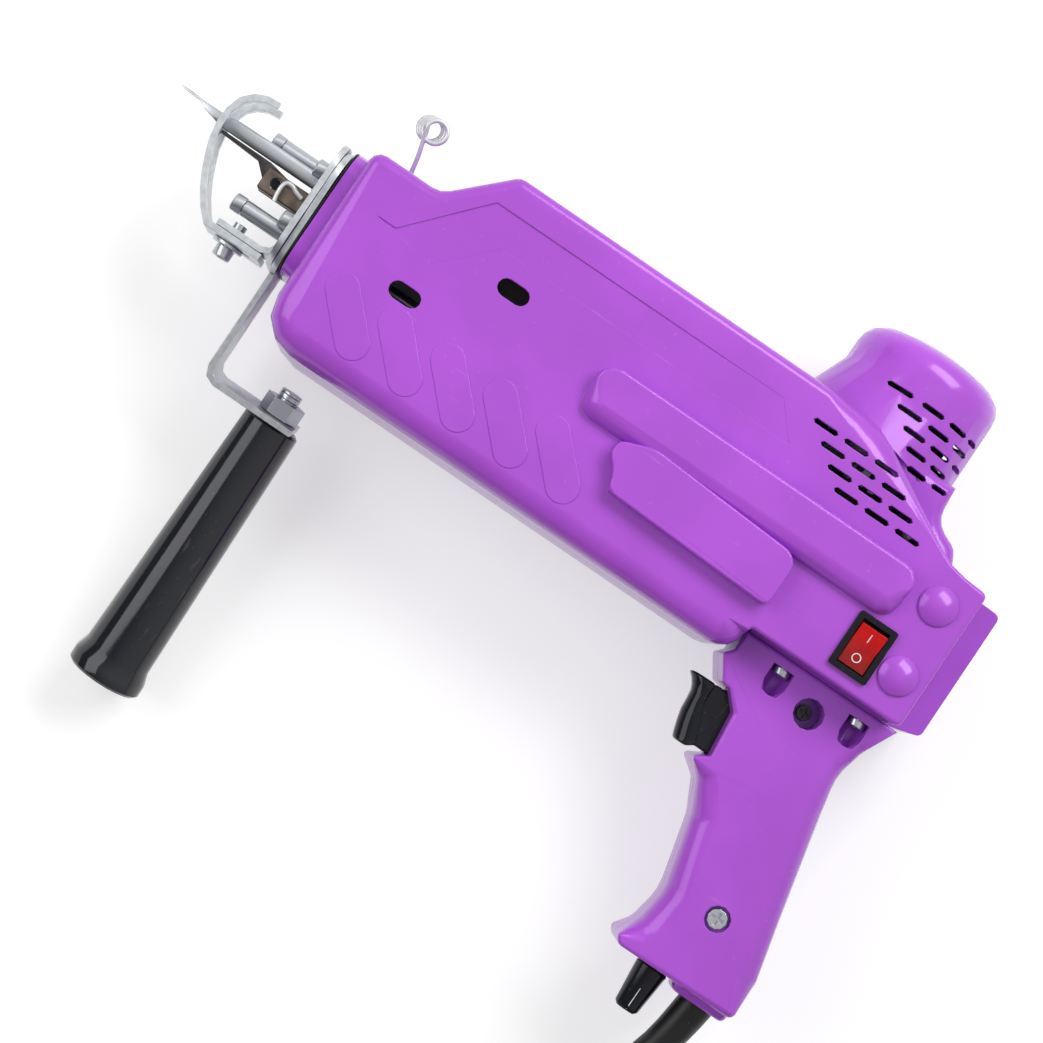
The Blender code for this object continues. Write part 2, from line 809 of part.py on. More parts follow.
def cross(arm, half):
    """Outline of a cross about the origin."""
    points = []
    for quarter in range(4):
        turn = Matrix.Rotation(-quarter * math.pi / 2, 2)
        points += [tuple(turn @ Vector(corner)) for corner in ((half, half), (arm, half), (arm, -half))]
    return points


def inset(corners, wall):
    """Corners of a rounded outline moved inwards by a wall; each is x, y, radius and edge rounding."""
    area = sum(one[0] * two[1] - two[0] * one[1] for one, two in zip(corners, corners[1:] + corners[:1]))
    inward = 1 if area > 0 else -1
    moved = []
    for index, (x, y, radius, edge) in enumerate(corners):
        before = (Vector((x, y)) - Vector(corners[index - 1][:2])).normalized()
        after = (Vector(corners[(index + 1) % len(corners)][:2]) - Vector((x, y))).normalized()
        sides = [Vector((-way.y, way.x)) * inward for way in (before, after)]
        shift = (sides[0] + sides[1]) * wall / (1 + sides[0].dot(sides[1]))
        convex = before.cross(after) * inward > 0
        new_radius = max(radius - wall, 0) if convex else radius + wall
        moved.append((x + shift.x, y + shift.y, new_radius, max(edge - wall, EDGE_LEAST)))
    return moved


def rounded_slab(name, corners, base, face, side, steps=EDGE_STEPS):
    """Loft over a rounded outline whose face edge is rounded by an amount that changes on the way.

    Heights are counted from the seam plane, towards the left half where side is 1.
    """
    points, edges = [], []
    for index, (x, y, radius, edge) in enumerate(corners):
        before = corners[index - 1][:2]
        after = corners[(index + 1) % len(corners)][:2]
        arc = corner_arc(before, (x, y), after, radius)
        points += [Vector(point) for point in arc]
        edges += [edge] * len(arc)
    area = sum(one.cross(two) for one, two in zip(points, points[1:] + points[:1]))
    inward = 1 if area > 0 else -1
    leans = []
    for index, here in enumerate(points):
        before = (here - points[index - 1]).normalized()
        after = (points[(index + 1) % len(points)] - here).normalized()
        sides = [Vector((-way.y, way.x)) * inward for way in (before, after)]
        leans.append((sides[0] + sides[1]) / (1 + sides[0].dot(sides[1])))
    form = bmesh.new()
    rings = [[form.verts.new((point.x, point.y, SEAM_Z + side * base)) for point in points]]
    for step in range(steps + 1):
        turn = math.pi / 2 * step / steps
        ring = []
        for point, lean, edge in zip(points, leans, edges):
            place = point + lean * edge * (1 - math.cos(turn))
            level = SEAM_Z + side * (face - edge * (1 - math.sin(turn)))
            ring.append(form.verts.new((place.x, place.y, level)))
        rings.append(ring)
    for lower, upper in zip(rings, rings[1:]):
        for index in range(len(points)):
            after = (index + 1) % len(points)
            form.faces.new((lower[index], lower[after], upper[after], upper[index]))
    form.faces.new(rings[0][::-1])
    form.faces.new(rings[-1])
    return from_bmesh(name, form)


def half_slab(name, outline, low, high, side):
    """Flat piece between two heights above the seam plane, on the left side where side is 1."""
    return slab(name, outline, SEAM_Z + side * low, SEAM_Z + side * high)


def body_corners(rear, rear_bottom):
    """Corners of a body half seen from its side, going round from the front of the top edge."""
    slope = BODY_TOP - NOSE_TOP
    flange_root = [(BODY_REAR, -REAR_BOTTOM, 0, CRISP_EDGE)] if rear > BODY_REAR else []
    return [
        (-BODY_REACH, NOSE_TOP, EDGE_ROUND + SUNK, EDGE_ROUND),
        (-PEAK_X - slope, NOSE_TOP, BELLY_ROUND, EDGE_ROUND),
        (-PEAK_X, BODY_TOP, EDGE_ROUND + SUNK, EDGE_ROUND),
        (-BUMP_RADIUS, BODY_TOP, 0, EDGE_ROUND),
        (BUMP_RADIUS * SHOULDER_START_SHARE, BODY_TOP, BUMP_RADIUS, BELLY_ROUND),
        (BODY_REAR * SHOULDER_END_SHARE, REAR_TOP + SUNK, BUMP_RADIUS, CRISP_EDGE),
        (rear, REAR_TOP, CRISP_EDGE + SUNK, CRISP_EDGE),
        (rear, -rear_bottom, CRISP_EDGE + SUNK, CRISP_EDGE),
        *flange_root,
        (-BELLY_REAR, -REAR_BOTTOM, CRISP_EDGE, CRISP_EDGE),
        (-BELLY_REAR, -BELLY_BOTTOM, BELLY_ROUND + SUNK, BELLY_ROUND),
        (-BODY_REACH, -BELLY_BOTTOM, CHIN_ROUND, BELLY_ROUND),
    ]


def bump(name, side, shrink, foot):
    """Motor bump about the motor's axis, or its hollow where shrink is the wall."""
    radius = BUMP_RADIUS - shrink
    top = BUMP_TOP - shrink
    profile = [(0, top)]
    profile += [(radius * across, top - BUMP_RADIUS * drop) for across, drop in BUMP_DOME_SHARES]
    profile += [(radius, foot), (0, foot)]
    return turned(name, [(r, h) for r, h in profile], (0, 0, SEAM_Z), (0, 1, 0), WIDE_SIDES)


def side_reliefs(side):
    """Shapes that a body half carries on its face: two rails and two screw domes."""
    low, high = BODY_HALF - SUNK, BODY_HALF + RAIL_RISE
    rail_front = RAIL_REAR - RAIL_LENGTH
    top, foot = -RAIL_DROP + RAIL_WIDTH / 2, -RAIL_DROP - RAIL_WIDTH / 2
    end = RAIL_WIDTH * RAIL_END_SHARE
    upper = [
        (rail_front, top, end, RAIL_TOP_ROUND),
        (RAIL_REAR, top, end, RAIL_TOP_ROUND),
        (RAIL_REAR, foot, end, RAIL_ROUND),
        (rail_front, foot, end, RAIL_ROUND),
    ]
    lower = [
        (-LOW_RAIL_REAR - LOW_RAIL_LENGTH * x, -LOW_RAIL_DROP - LOW_RAIL_WIDTH * y, LOW_RAIL_WIDTH * r,
         LOW_RAIL_ROUND)
        for x, y, r in LOW_RAIL_SHARES
    ]
    pieces = [rounded_slab("rail", upper, low, high, side), rounded_slab("low_rail", lower, low, high, side)]
    for x, y in DOME_PLACES:
        crown = DOME_RISE - DOME_STEP
        sphere = (DOME_RADIUS ** 2 + crown ** 2) / (2 * crown)
        turns = [math.asin(DOME_RADIUS / sphere) * step / ARC_STEPS for step in range(ARC_STEPS + 1)]
        profile = [(sphere * math.sin(turn), sphere * math.cos(turn) - sphere + DOME_RISE) for turn in turns]
        profile += [(DOME_RADIUS, -SUNK), (0, -SUNK)]
        pieces.append(turned("dome", profile, (x, y, SEAM_Z + side * BODY_HALF), (0, 0, side), SMALL_SIDES))
    return pieces


def bump_skirt():
    """Slope that carries the bump's front and side down to the body's top."""
    foot = Vector((-SKIRT_SPREAD, SKIRT_FOOT, SEAM_Z))
    way = Vector((0, SKIRT_TOP, SEAM_Z)) - foot
    spread = BUMP_RADIUS + SKIRT_SPREAD - 2 * FIT
    return cylinder("skirt", foot, way, way.length, spread, WIDE_SIDES, BUMP_RADIUS - FIT)


def bump_shoulder(side):
    """Fillet that carries the bump down to the top of the rear block."""
    radius = BUMP_RADIUS
    corners = [(radius * x, radius * y, radius * r, radius * e) for x, y, r, e in SHOULDER_SHARES]
    return rounded_slab("shoulder", corners, 0, BUMP_RADIUS * SHOULDER_HEIGHT_SHARE, side)


def collar_outline(growth=0):
    return rectangle(-COLLAR_DROP, SEAM_Z, COLLAR_SIZE + growth, COLLAR_SIZE + growth, COLLAR_ROUND)


def vent_outlines():
    """Slots of the two vent fields, the first on the flat face and the second on the bump."""
    flat = []
    for row, start in enumerate(VENT_ROW_STARTS):
        for column in range(VENT_COLUMNS):
            place = (start + column * VENT_PITCH_X, VENT_FIRST_Y - row * VENT_PITCH_Y)
            flat.append(obround(*place, VENT_LENGTH, VENT_WIDTH, 0, SLOT_STEPS))
    curved = []
    for row, columns in enumerate(BUMP_VENT_ROWS):
        for x, length in columns:
            place = (x, BUMP_VENT_FIRST_Y - row * VENT_PITCH_Y)
            curved.append(obround(*place, length, VENT_WIDTH, 0, SLOT_STEPS))
    return flat, curved


def face_cutters(side):
    """Everything that is cut into a half's face: vents, oil windows, ovals and the raised band."""
    flat, curved = vent_outlines()
    windows = [obround(x, y, WINDOW_LENGTH, WINDOW_WIDTH) for x, y in WINDOW_PLACES]
    through, over = BODY_HALF - 2 * WALL, BODY_HALF + OVERRUN
    slots = [half_slab("slot", outline, through, over, side) for outline in flat + windows]
    slots += [half_slab("slot", outline, BUMP_RADIUS * VENT_FLOOR_SHARE, over, side) for outline in curved]
    ovals = []
    for index in range(OVAL_COUNT):
        x = -OVAL_FIRST_X + index * OVAL_PITCH
        outline = obround(x, -OVAL_DROP, OVAL_LENGTH, OVAL_WIDTH, OVAL_TILT, 2 * SLOT_STEPS)
        ovals.append(half_slab("oval", outline, BODY_HALF - OVAL_DEPTH, over, side))
    band = [(BODY_REACH * x, BODY_TOP * y) for x, y in BAND_SHARES]
    ovals.append(half_slab("band", band, BODY_HALF - BAND_DEPTH, over, side))
    return [group("face_slots", slots), group("face_reliefs", ovals)]


def body_half(name, side):
    """One moulded half: an open shell with bump, shoulder, collar, rails, domes and its cuts."""
    own_rear = BODY_REAR if side > 0 else BODY_REAR + FLANGE_STEP
    own_foot = REAR_BOTTOM if side > 0 else REAR_BOTTOM - FLANGE_RISE
    item = rounded_slab(name, body_corners(own_rear, own_foot), FIT / 2, BODY_HALF, side)
    collar = slab("collar", collar_outline(), COLLAR_FRONT, SUNK - BODY_REACH, "X")
    join(item, bump("bump", side, 0, BUMP_FOOT), bump_shoulder(side), collar, *side_reliefs(side))
    join(item, bump_skirt())
    hollow = inset(body_corners(BODY_REAR, REAR_BOTTOM), WALL)
    cavity = rounded_slab("cavity", hollow, -OVERRUN, BODY_HALF - WALL, side, 1)
    bump_cavity = bump("bump_cavity", side, WALL, BUMP_FOOT + WALL)
    nose = (COLLAR_FRONT - OVERRUN, -COLLAR_DROP, SEAM_Z)
    depth = COLLAR_LENGTH + WALL + 2 * OVERRUN
    mouth = cylinder("mouth", nose, (1, 0, 0), depth, BOSS_RADIUS + FIT, WIDE_SIDES)
    reach = BODY_REACH + BUMP_TOP
    limits = sorted((SEAM_Z + side * FIT / 2, SEAM_Z - side * 2 * BODY_HALF))
    beyond = box("beyond", (-reach, -reach, limits[0]), (reach, reach, limits[1]))
    cut(item, cavity, bump_cavity, mouth, beyond, *face_cutters(side))
    for x, height in POCKET_PLACES.values():
        if side > 0:
            start = (x, -REAR_BOTTOM - OVERRUN, SEAM_Z + height)
            cut(item, cylinder("hole", start, (0, 1, 0), WALL + 2 * OVERRUN, SCREW_RADIUS + FIT, SMALL_SIDES))
    if side < 0:
        _, seat, inward = guide_foot()
        depth = GUIDE_SCREW_LENGTH + WALL
        hole = cylinder("guide_hole", seat, inward, depth, SCREW_RADIUS + FIT, SMALL_SIDES)
        cut(item, hole)
    if side > 0:
        opening = rectangle(*SWITCH_PLACE, BEZEL_WIDTH - BEZEL_LIP, BEZEL_LENGTH - BEZEL_LIP, SUNK)
        cut(item, half_slab("switch_hole", opening, BODY_HALF - 2 * WALL, BODY_HALF + OVERRUN, side))
    return finish(item, name, "purple_plastic")


def grip_corners():
    """Corners of the grip seen from its side, going round from the front of its top."""
    top = -REAR_BOTTOM - 2 * FIT
    front = -BELLY_REAR + 4 * FIT
    shaped = [(GRIP_UNIT * x, GRIP_UNIT * y, GRIP_UNIT * r, GRIP_ROUND * e) for x, y, r, e in GRIP_SHARES]
    foot = [
        (GRIP_UNIT * x, -GRIP_FOOT, GRIP_CORNER, GRIP_ROUND * e) for x, e in GRIP_FOOT_SHARES
    ]
    back = [(GRIP_UNIT * x, GRIP_UNIT * y, GRIP_UNIT * r, GRIP_ROUND * e) for x, y, r, e in GRIP_BACK_SHARES]
    return [
        (front, top, 0, CRISP_EDGE),
        *shaped,
        *foot,
        *back,
        (GRIP_UNIT * GRIP_TOP_SHARE, top, 0, CRISP_EDGE),
    ]


def grip_half(name, side):
    """One half of the pistol grip with its bosses, trigger pocket and screw pockets."""
    item = rounded_slab(name, grip_corners(), FIT / 2, GRIP_HALF, side)
    cavity = rounded_slab("cavity", inset(grip_corners(), WALL), -OVERRUN, GRIP_HALF - WALL, side, 1)
    cut(item, cavity)
    for (x, y), radius in ((GRIP_SCREW_HIGH, GRIP_HOLE_HIGH), (GRIP_SCREW_LOW, GRIP_HOLE_LOW)):
        low = (x, y, SEAM_Z + side * FIT / 2)
        join(item, cylinder("boss", low, (0, 0, side), GRIP_HALF - WALL / 2, radius + WALL, SMALL_SIDES))
    for x, height in POCKET_PLACES.values() if side > 0 else ():
        pocket_foot = -REAR_BOTTOM - POCKET_ROOF - POCKET_DEPTH
        low = (x - POCKET_RADIUS - SUNK, pocket_foot - WALL, SEAM_Z + height - POCKET_BACK)
        high = (x + POCKET_RADIUS + SUNK, -REAR_BOTTOM - WALL, SEAM_Z + GRIP_HALF - WALL / 2)
        join(item, box("pocket_boss", low, high))
    seat_y = -GRIP_FOOT - (BOOT_SEAT - SUNK) / 2
    collar = rectangle(BOOT_X, seat_y, BOOT_SEAT_WIDTH, BOOT_SEAT + SUNK)
    join(item, half_slab("boot_seat", collar, FIT / 2, BOOT_SEAT_HALF, side))
    pocket_z = SEAM_Z + TRIGGER_HALF + FIT
    half = TRIGGER_HALF + FIT
    pocket_top = TRIGGER_Y - SUNK + FIT
    pocket_foot = pocket_top - TRIGGER_UNIT * TRIGGER_FOOT_SHARE - 2 * FIT
    inner = TRIGGER_X + TRIGGER_UNIT * TRIGGER_DEPTH_SHARE + TRIGGER_PULL + SUNK
    cut(item, box("pocket", (-OVERRUN, pocket_foot, SEAM_Z - half), (inner, pocket_top, pocket_z)))
    depths = (GRIP_HOLE_HIGH_DEPTH, GRIP_HOLE_LOW_DEPTH)
    radii = (GRIP_HOLE_HIGH, GRIP_HOLE_LOW)
    for (x, y), radius, depth in zip((GRIP_SCREW_HIGH, GRIP_SCREW_LOW), radii, depths):
        if side > 0:
            floor = (x, y, SEAM_Z + GRIP_HALF - depth)
            cut(item, cylinder("head_hole", floor, (0, 0, 1), depth + OVERRUN, radius, SMALL_SIDES))
        start = (x, y, SEAM_Z + GRIP_HALF - depth + OVERRUN)
        bore = GRIP_HALF - depth + GRIP_SCREW_BITE + OVERRUN + SUNK
        cut(item, cylinder("bore", start, (0, 0, -1), bore, SCREW_RADIUS + FIT, SMALL_SIDES))
    if side > 0:
        for x, height in POCKET_PLACES.values():
            top = -REAR_BOTTOM - POCKET_ROOF
            scoop = [(0, top)]
            scoop += [(POCKET_RADIUS * across, top - POCKET_DEPTH * down) for across, down in POCKET_SHARES]
            for rise in (0, POCKET_RADIUS):
                centre = (x, 0, SEAM_Z + height + rise)
                cut(item, turned("pocket", scoop, centre, (0, 1, 0), SMALL_SIDES))
            start = (x, top - SUNK, SEAM_Z + height)
            length = POCKET_ROOF + 2 * SUNK
            cut(item, cylinder("hole", start, (0, 1, 0), length, SCREW_RADIUS + FIT, SMALL_SIDES))
    foot = -GRIP_FOOT - OVERRUN
    length = WALL + 2 * OVERRUN
    for x, radius in ((KNOB_X, POT_SHAFT_RADIUS + FIT), (BOOT_X, BOOT_TIP_RADIUS - SUNK + FIT)):
        cut(item, cylinder("foot_hole", (x, foot, SEAM_Z), (0, 1, 0), length, radius, SMALL_SIDES))
    return finish(item, name, "purple_plastic")


def grip_screws():
    """Screws that close the grip and hold it to the body."""
    seats = {
        "high": (GRIP_SCREW_HIGH, GRIP_HOLE_HIGH_DEPTH, GRIP_HEAD_HIGH),
        "low": (GRIP_SCREW_LOW, GRIP_HOLE_LOW_DEPTH, GRIP_HOLE_LOW - SUNK),
    }
    for place, ((x, y), depth, radius) in seats.items():
        sizes = (radius, SCREW_HEAD_LENGTH / 2, SCREW_RADIUS)
        head = (x, y, SEAM_Z + GRIP_HALF - depth + FIT)
        length = GRIP_HALF - depth + GRIP_SCREW_BITE
        finish(screw("screw", head, (0, 0, -1), length, sizes, "cross"), f"grip_screw_{place}", "zinc_steel")
    for place, (x, height) in POCKET_PLACES.items():
        head = (x, -REAR_BOTTOM - POCKET_ROOF - FIT, SEAM_Z + height)
        item = screw("screw", head, (0, 1, 0), FLANGE_SCREW_LENGTH, FLANGE_SCREW_SIZES, "cross")
        finish(item, f"flange_screw_{place}", "zinc_steel")


def trigger():
    """Finger trigger with its hooked top, hollowed front, side channels and guide pin hole."""
    outline = [(TRIGGER_X + TRIGGER_UNIT * x, TRIGGER_Y - SUNK - TRIGGER_UNIT * y) for x, y in TRIGGER_SHARES]
    item = slab("trigger", outline, SEAM_Z - TRIGGER_HALF, SEAM_Z + TRIGGER_HALF)
    for side in (1, -1):
        channel = [
            (TRIGGER_X + TRIGGER_UNIT * x, TRIGGER_Y - SUNK - TRIGGER_UNIT * y)
            for x, y in TRIGGER_CHANNEL_SHARES
        ]
        cut(item, half_slab("channel", channel, TRIGGER_HALF - SUNK, TRIGGER_HALF + SUNK, side))
    pivot = (TRIGGER_X + TRIGGER_UNIT / 2, TRIGGER_Y - TRIGGER_UNIT / 2, SEAM_Z)
    finish(item, "trigger", "black_plastic", pivot)
    length, height, width = TRIGGER_SWITCH_SIZE
    rear = TRIGGER_X + TRIGGER_UNIT * TRIGGER_DEPTH_SHARE + TRIGGER_PULL + FIT
    low = (rear, TRIGGER_Y - SUNK - height, SEAM_Z - width / 2)
    high = (rear + length, TRIGGER_Y - SUNK, SEAM_Z + width / 2)
    finish(box("switch", low, high, SUNK), "trigger_switch", "black_plastic")


def power_switch():
    """Rocker with its frame, let into the left face."""
    x, y = SWITCH_PLACE
    outline = rectangle(x, y, BEZEL_WIDTH, BEZEL_LENGTH, SUNK)
    item = half_slab("bezel", outline, BODY_HALF + FIT, BODY_HALF + BEZEL_RISE, 1)
    body = rectangle(x, y, BEZEL_WIDTH - BEZEL_LIP - 2 * FIT, BEZEL_LENGTH - BEZEL_LIP - 2 * FIT, SUNK)
    join(item, half_slab("body", body, BODY_HALF - SWITCH_DEPTH, BODY_HALF + BEZEL_RISE / 2, 1))
    end = ROCKER_LENGTH / 2
    sag = end * math.tan(ROCKER_TILT)
    swing = math.hypot(end, (ROCKER_DEPTH + sag) / 2) + FIT
    well = rectangle(x, y, ROCKER_WIDTH + 2 * FIT, 2 * swing)
    floor = BODY_HALF - ROCKER_DEPTH - 2 * sag
    cut(item, half_slab("well", well, floor, BODY_HALF + OVERRUN, 1))
    finish(item, "rocker_bezel", "black_plastic")
    top = BODY_HALF + BEZEL_RISE
    profile = [
        (y - end, top - ROCKER_DEPTH / 2),
        (y - end, top + sag / 2),
        (y, top - sag / 2),
        (y + end, top + sag / 2),
        (y + end, top - ROCKER_DEPTH / 2),
        (y, top - ROCKER_DEPTH),
    ]
    outline = [(place, SEAM_Z + height) for place, height in profile]
    item = slab("rocker", outline, x - ROCKER_WIDTH / 2, x + ROCKER_WIDTH / 2, "X")
    pivot = (x, y, SEAM_Z + top - ROCKER_DEPTH / 2)
    finish(item, "rocker", "red_plastic", pivot, about(pivot, "X", ROCKER_TILT))


def about(pivot, axis, angle):
    """Turn about an axis through a place."""
    return Matrix.Translation(pivot) @ Matrix.Rotation(angle, 4, axis) @ Matrix.Translation(pivot).inverted()


def speed_control():
    """Tapered knob under the grip's foot and the potentiometer that it turns."""
    knob_top = -GRIP_FOOT - 2 * FIT
    profile = (
        (0, 0),
        (KNOB_RADIUS - CRISP_EDGE / 2, 0),
        (KNOB_RADIUS, -CRISP_EDGE / 2),
        (KNOB_TIP_RADIUS, CRISP_EDGE - KNOB_LENGTH),
        (KNOB_TIP_RADIUS - CRISP_EDGE, -KNOB_LENGTH),
        (0, -KNOB_LENGTH),
    )
    knob = turned("knob", profile, (KNOB_X, knob_top, SEAM_Z), (0, 1, 0))
    depth = KNOB_LENGTH / 2
    bore = (KNOB_X, knob_top + OVERRUN, SEAM_Z)
    cut(knob, cylinder("bore", bore, (0, -1, 0), depth + OVERRUN, POT_SHAFT_RADIUS + FIT, SMALL_SIDES))
    for index in range(KNOB_FLUTES):
        turn = 2 * math.pi * index / KNOB_FLUTES
        reach = KNOB_RADIUS + FLUTE_RADIUS / 2
        place = (KNOB_X + reach * math.sin(turn), knob_top - KNOB_LENGTH / 4, SEAM_Z + reach * math.cos(turn))
        lean = (-math.sin(turn) * FLUTE_LEAN_SHARE, -1, -math.cos(turn) * FLUTE_LEAN_SHARE)
        cut(knob, cylinder("flute", place, lean, KNOB_LENGTH, FLUTE_RADIUS, 8))
    finish(knob, "speed_knob", "black_plastic", (KNOB_X, knob_top, SEAM_Z))
    inside = -GRIP_FOOT + WALL + FIT
    pot = cylinder("pot", (KNOB_X, inside, SEAM_Z), (0, 1, 0), POT_DEPTH, POT_RADIUS)
    tip = knob_top - depth + SUNK
    start = (KNOB_X, tip, SEAM_Z)
    join(pot, cylinder("spindle", start, (0, 1, 0), inside - tip + SUNK, POT_SHAFT_RADIUS, SMALL_SIDES))
    finish(pot, "potentiometer", "zinc_steel")


def smooth_route(points, steps):
    """Points of a smooth curve through a route's points."""
    route = [Vector(point) for point in points]
    route = [2 * route[0] - route[1], *route, 2 * route[-1] - route[-2]]
    smooth = []
    for p0, p1, p2, p3 in zip(route, route[1:], route[2:], route[3:]):
        for step in range(steps):
            t = step / steps
            bend = 2 * p0 - 5 * p1 + 4 * p2 - p3
            twist = 3 * p1 - p0 - 3 * p2 + p3
            smooth.append((2 * p1 + (p2 - p0) * t + bend * t * t + twist * t * t * t) / 2)
    return smooth + [Vector(points[-1])]


def coil_points():
    """Route of the coiled lead: in on the lower layer, up in half a turn, out on the upper one."""
    centre = Vector((*COIL_CENTRE, 0))
    low, high = CORD_RADIUS, CORD_RADIUS + COIL_PITCH
    turns_out = COIL_TURNS - 1 / 4
    total = COIL_TURNS + 1 / 2 + turns_out
    count = round(total * COIL_LOOP_POINTS)
    points = []
    for index in range(count + 1):
        turn = total * index / count
        climb = min(max((turn - COIL_TURNS) * 2, 0), 1)
        wound_in = COIL_TURNS + 1 / 4 - abs(turn - COIL_TURNS - 1 / 4)
        radius = COIL_OUTER - wound_in * COIL_PITCH
        angle = -2 * math.pi * turn
        rise = low + (high - low) * (1 - math.cos(math.pi * climb)) / 2
        points.append(centre + Vector((radius * math.cos(angle), radius * math.sin(angle), rise)))
    start, end = points[0], points[-1]
    points.insert(0, start + Vector((0, 2 * CORD_RADIUS, 0)))
    points.append(end - Vector((COIL_TAIL, 0, 0)))
    return points


def least_gap(points, radius):
    """Least free distance of a wound tube to itself, away from its own neighbourhood."""
    near = round(COIL_LOOP_POINTS * NEIGHBOUR_SHARE)
    middles = [(one + two) / 2 for one, two in zip(points, points[1:])]
    places = [point for pair in zip(points, middles) for point in pair]
    least = math.inf
    for index, place in enumerate(places):
        for other in places[index + 2 * near:]:
            least = min(least, (place - other).length)
    return least - 2 * radius


def lead():
    """Boot, free tube, coil and plug of the mains lead."""
    root = Vector((BOOT_X, WALL + SUNK - GRIP_FOOT, SEAM_Z))
    boot_start = Vector(CORD_ROUTE[0])
    neck = Vector((BOOT_X, -GRIP_FOOT - BOOT_DROP, SEAM_Z))
    heading = (boot_start - neck).normalized()
    length = (boot_start - neck).length - FIT
    boot = cylinder("boot", neck, heading, length, BOOT_RADIUS, SMALL_SIDES, BOOT_TIP_RADIUS)
    shoulder = Vector((BOOT_X, -GRIP_FOOT - BOOT_SEAT - FIT, SEAM_Z))
    length = BOOT_DROP - BOOT_SEAT + SUNK
    join(boot, cylinder("shoulder", shoulder, (0, -1, 0), length, BOOT_RADIUS, SMALL_SIDES))
    neck_top = root + Vector((0, BOOT_ROOT / 2, 0))
    length = (neck_top - neck).length + BOOT_ROOT
    join(boot, cylinder("neck", neck_top, (0, -1, 0), length, BOOT_TIP_RADIUS - SUNK, SMALL_SIDES))
    join(boot, cylinder("root", root, (0, 1, 0), BOOT_ROOT, BOOT_RADIUS, SMALL_SIDES))
    finish(boot, "strain_relief", "black_rubber")
    coil = coil_points()
    route = [*CORD_ROUTE, tuple(coil[0] + Vector((0, FIT, 0)))]
    free = smooth_route(route, CORD_STEPS)
    finish(tube("cord", free, CORD_RADIUS), "cord", "black_rubber")
    finish(tube("coil", coil, CORD_RADIUS, 1), "cord_coil", "black_rubber")
    length = sum((two - one).length for one, two in zip(coil, coil[1:]))
    length += sum((two - one).length for one, two in zip(free, free[1:]))
    print(f"lead {length / MM:.0f} mm, least gap in its coil {least_gap(coil, CORD_RADIUS) / MM:.2f} mm")
    front = coil[-1] - Vector((FIT, 0, 0))
    half = front.z - FIT
    low = (front.x - PLUG_LENGTH, front.y - PLUG_WIDTH / 2, front.z - half)
    high = (front.x, front.y + PLUG_WIDTH / 2, front.z + half)
    plug = box("plug", low, high, PLUG_ROUND)
    for side in (1, -1):
        start = (low[0] + SUNK, front.y + side * PIN_SPACING / 2, front.z)
        join(plug, cylinder("pin", start, (-1, 0, 0), PIN_LENGTH + SUNK, PIN_RADIUS, SMALL_SIDES))
    finish(plug, "plug", "black_rubber")


def gear_outline(radius, teeth, depth):
    """Outline of a toothed wheel with straight-flanked teeth."""
    points = []
    for tooth in range(teeth):
        for share, reach in ((-0.32, -1), (-0.18, 1), (0.18, 1), (0.32, -1)):
            turn = 2 * math.pi * (tooth + share) / teeth
            at = radius + depth / 2 * reach
            points.append((at * math.cos(turn), at * math.sin(turn)))
    return points


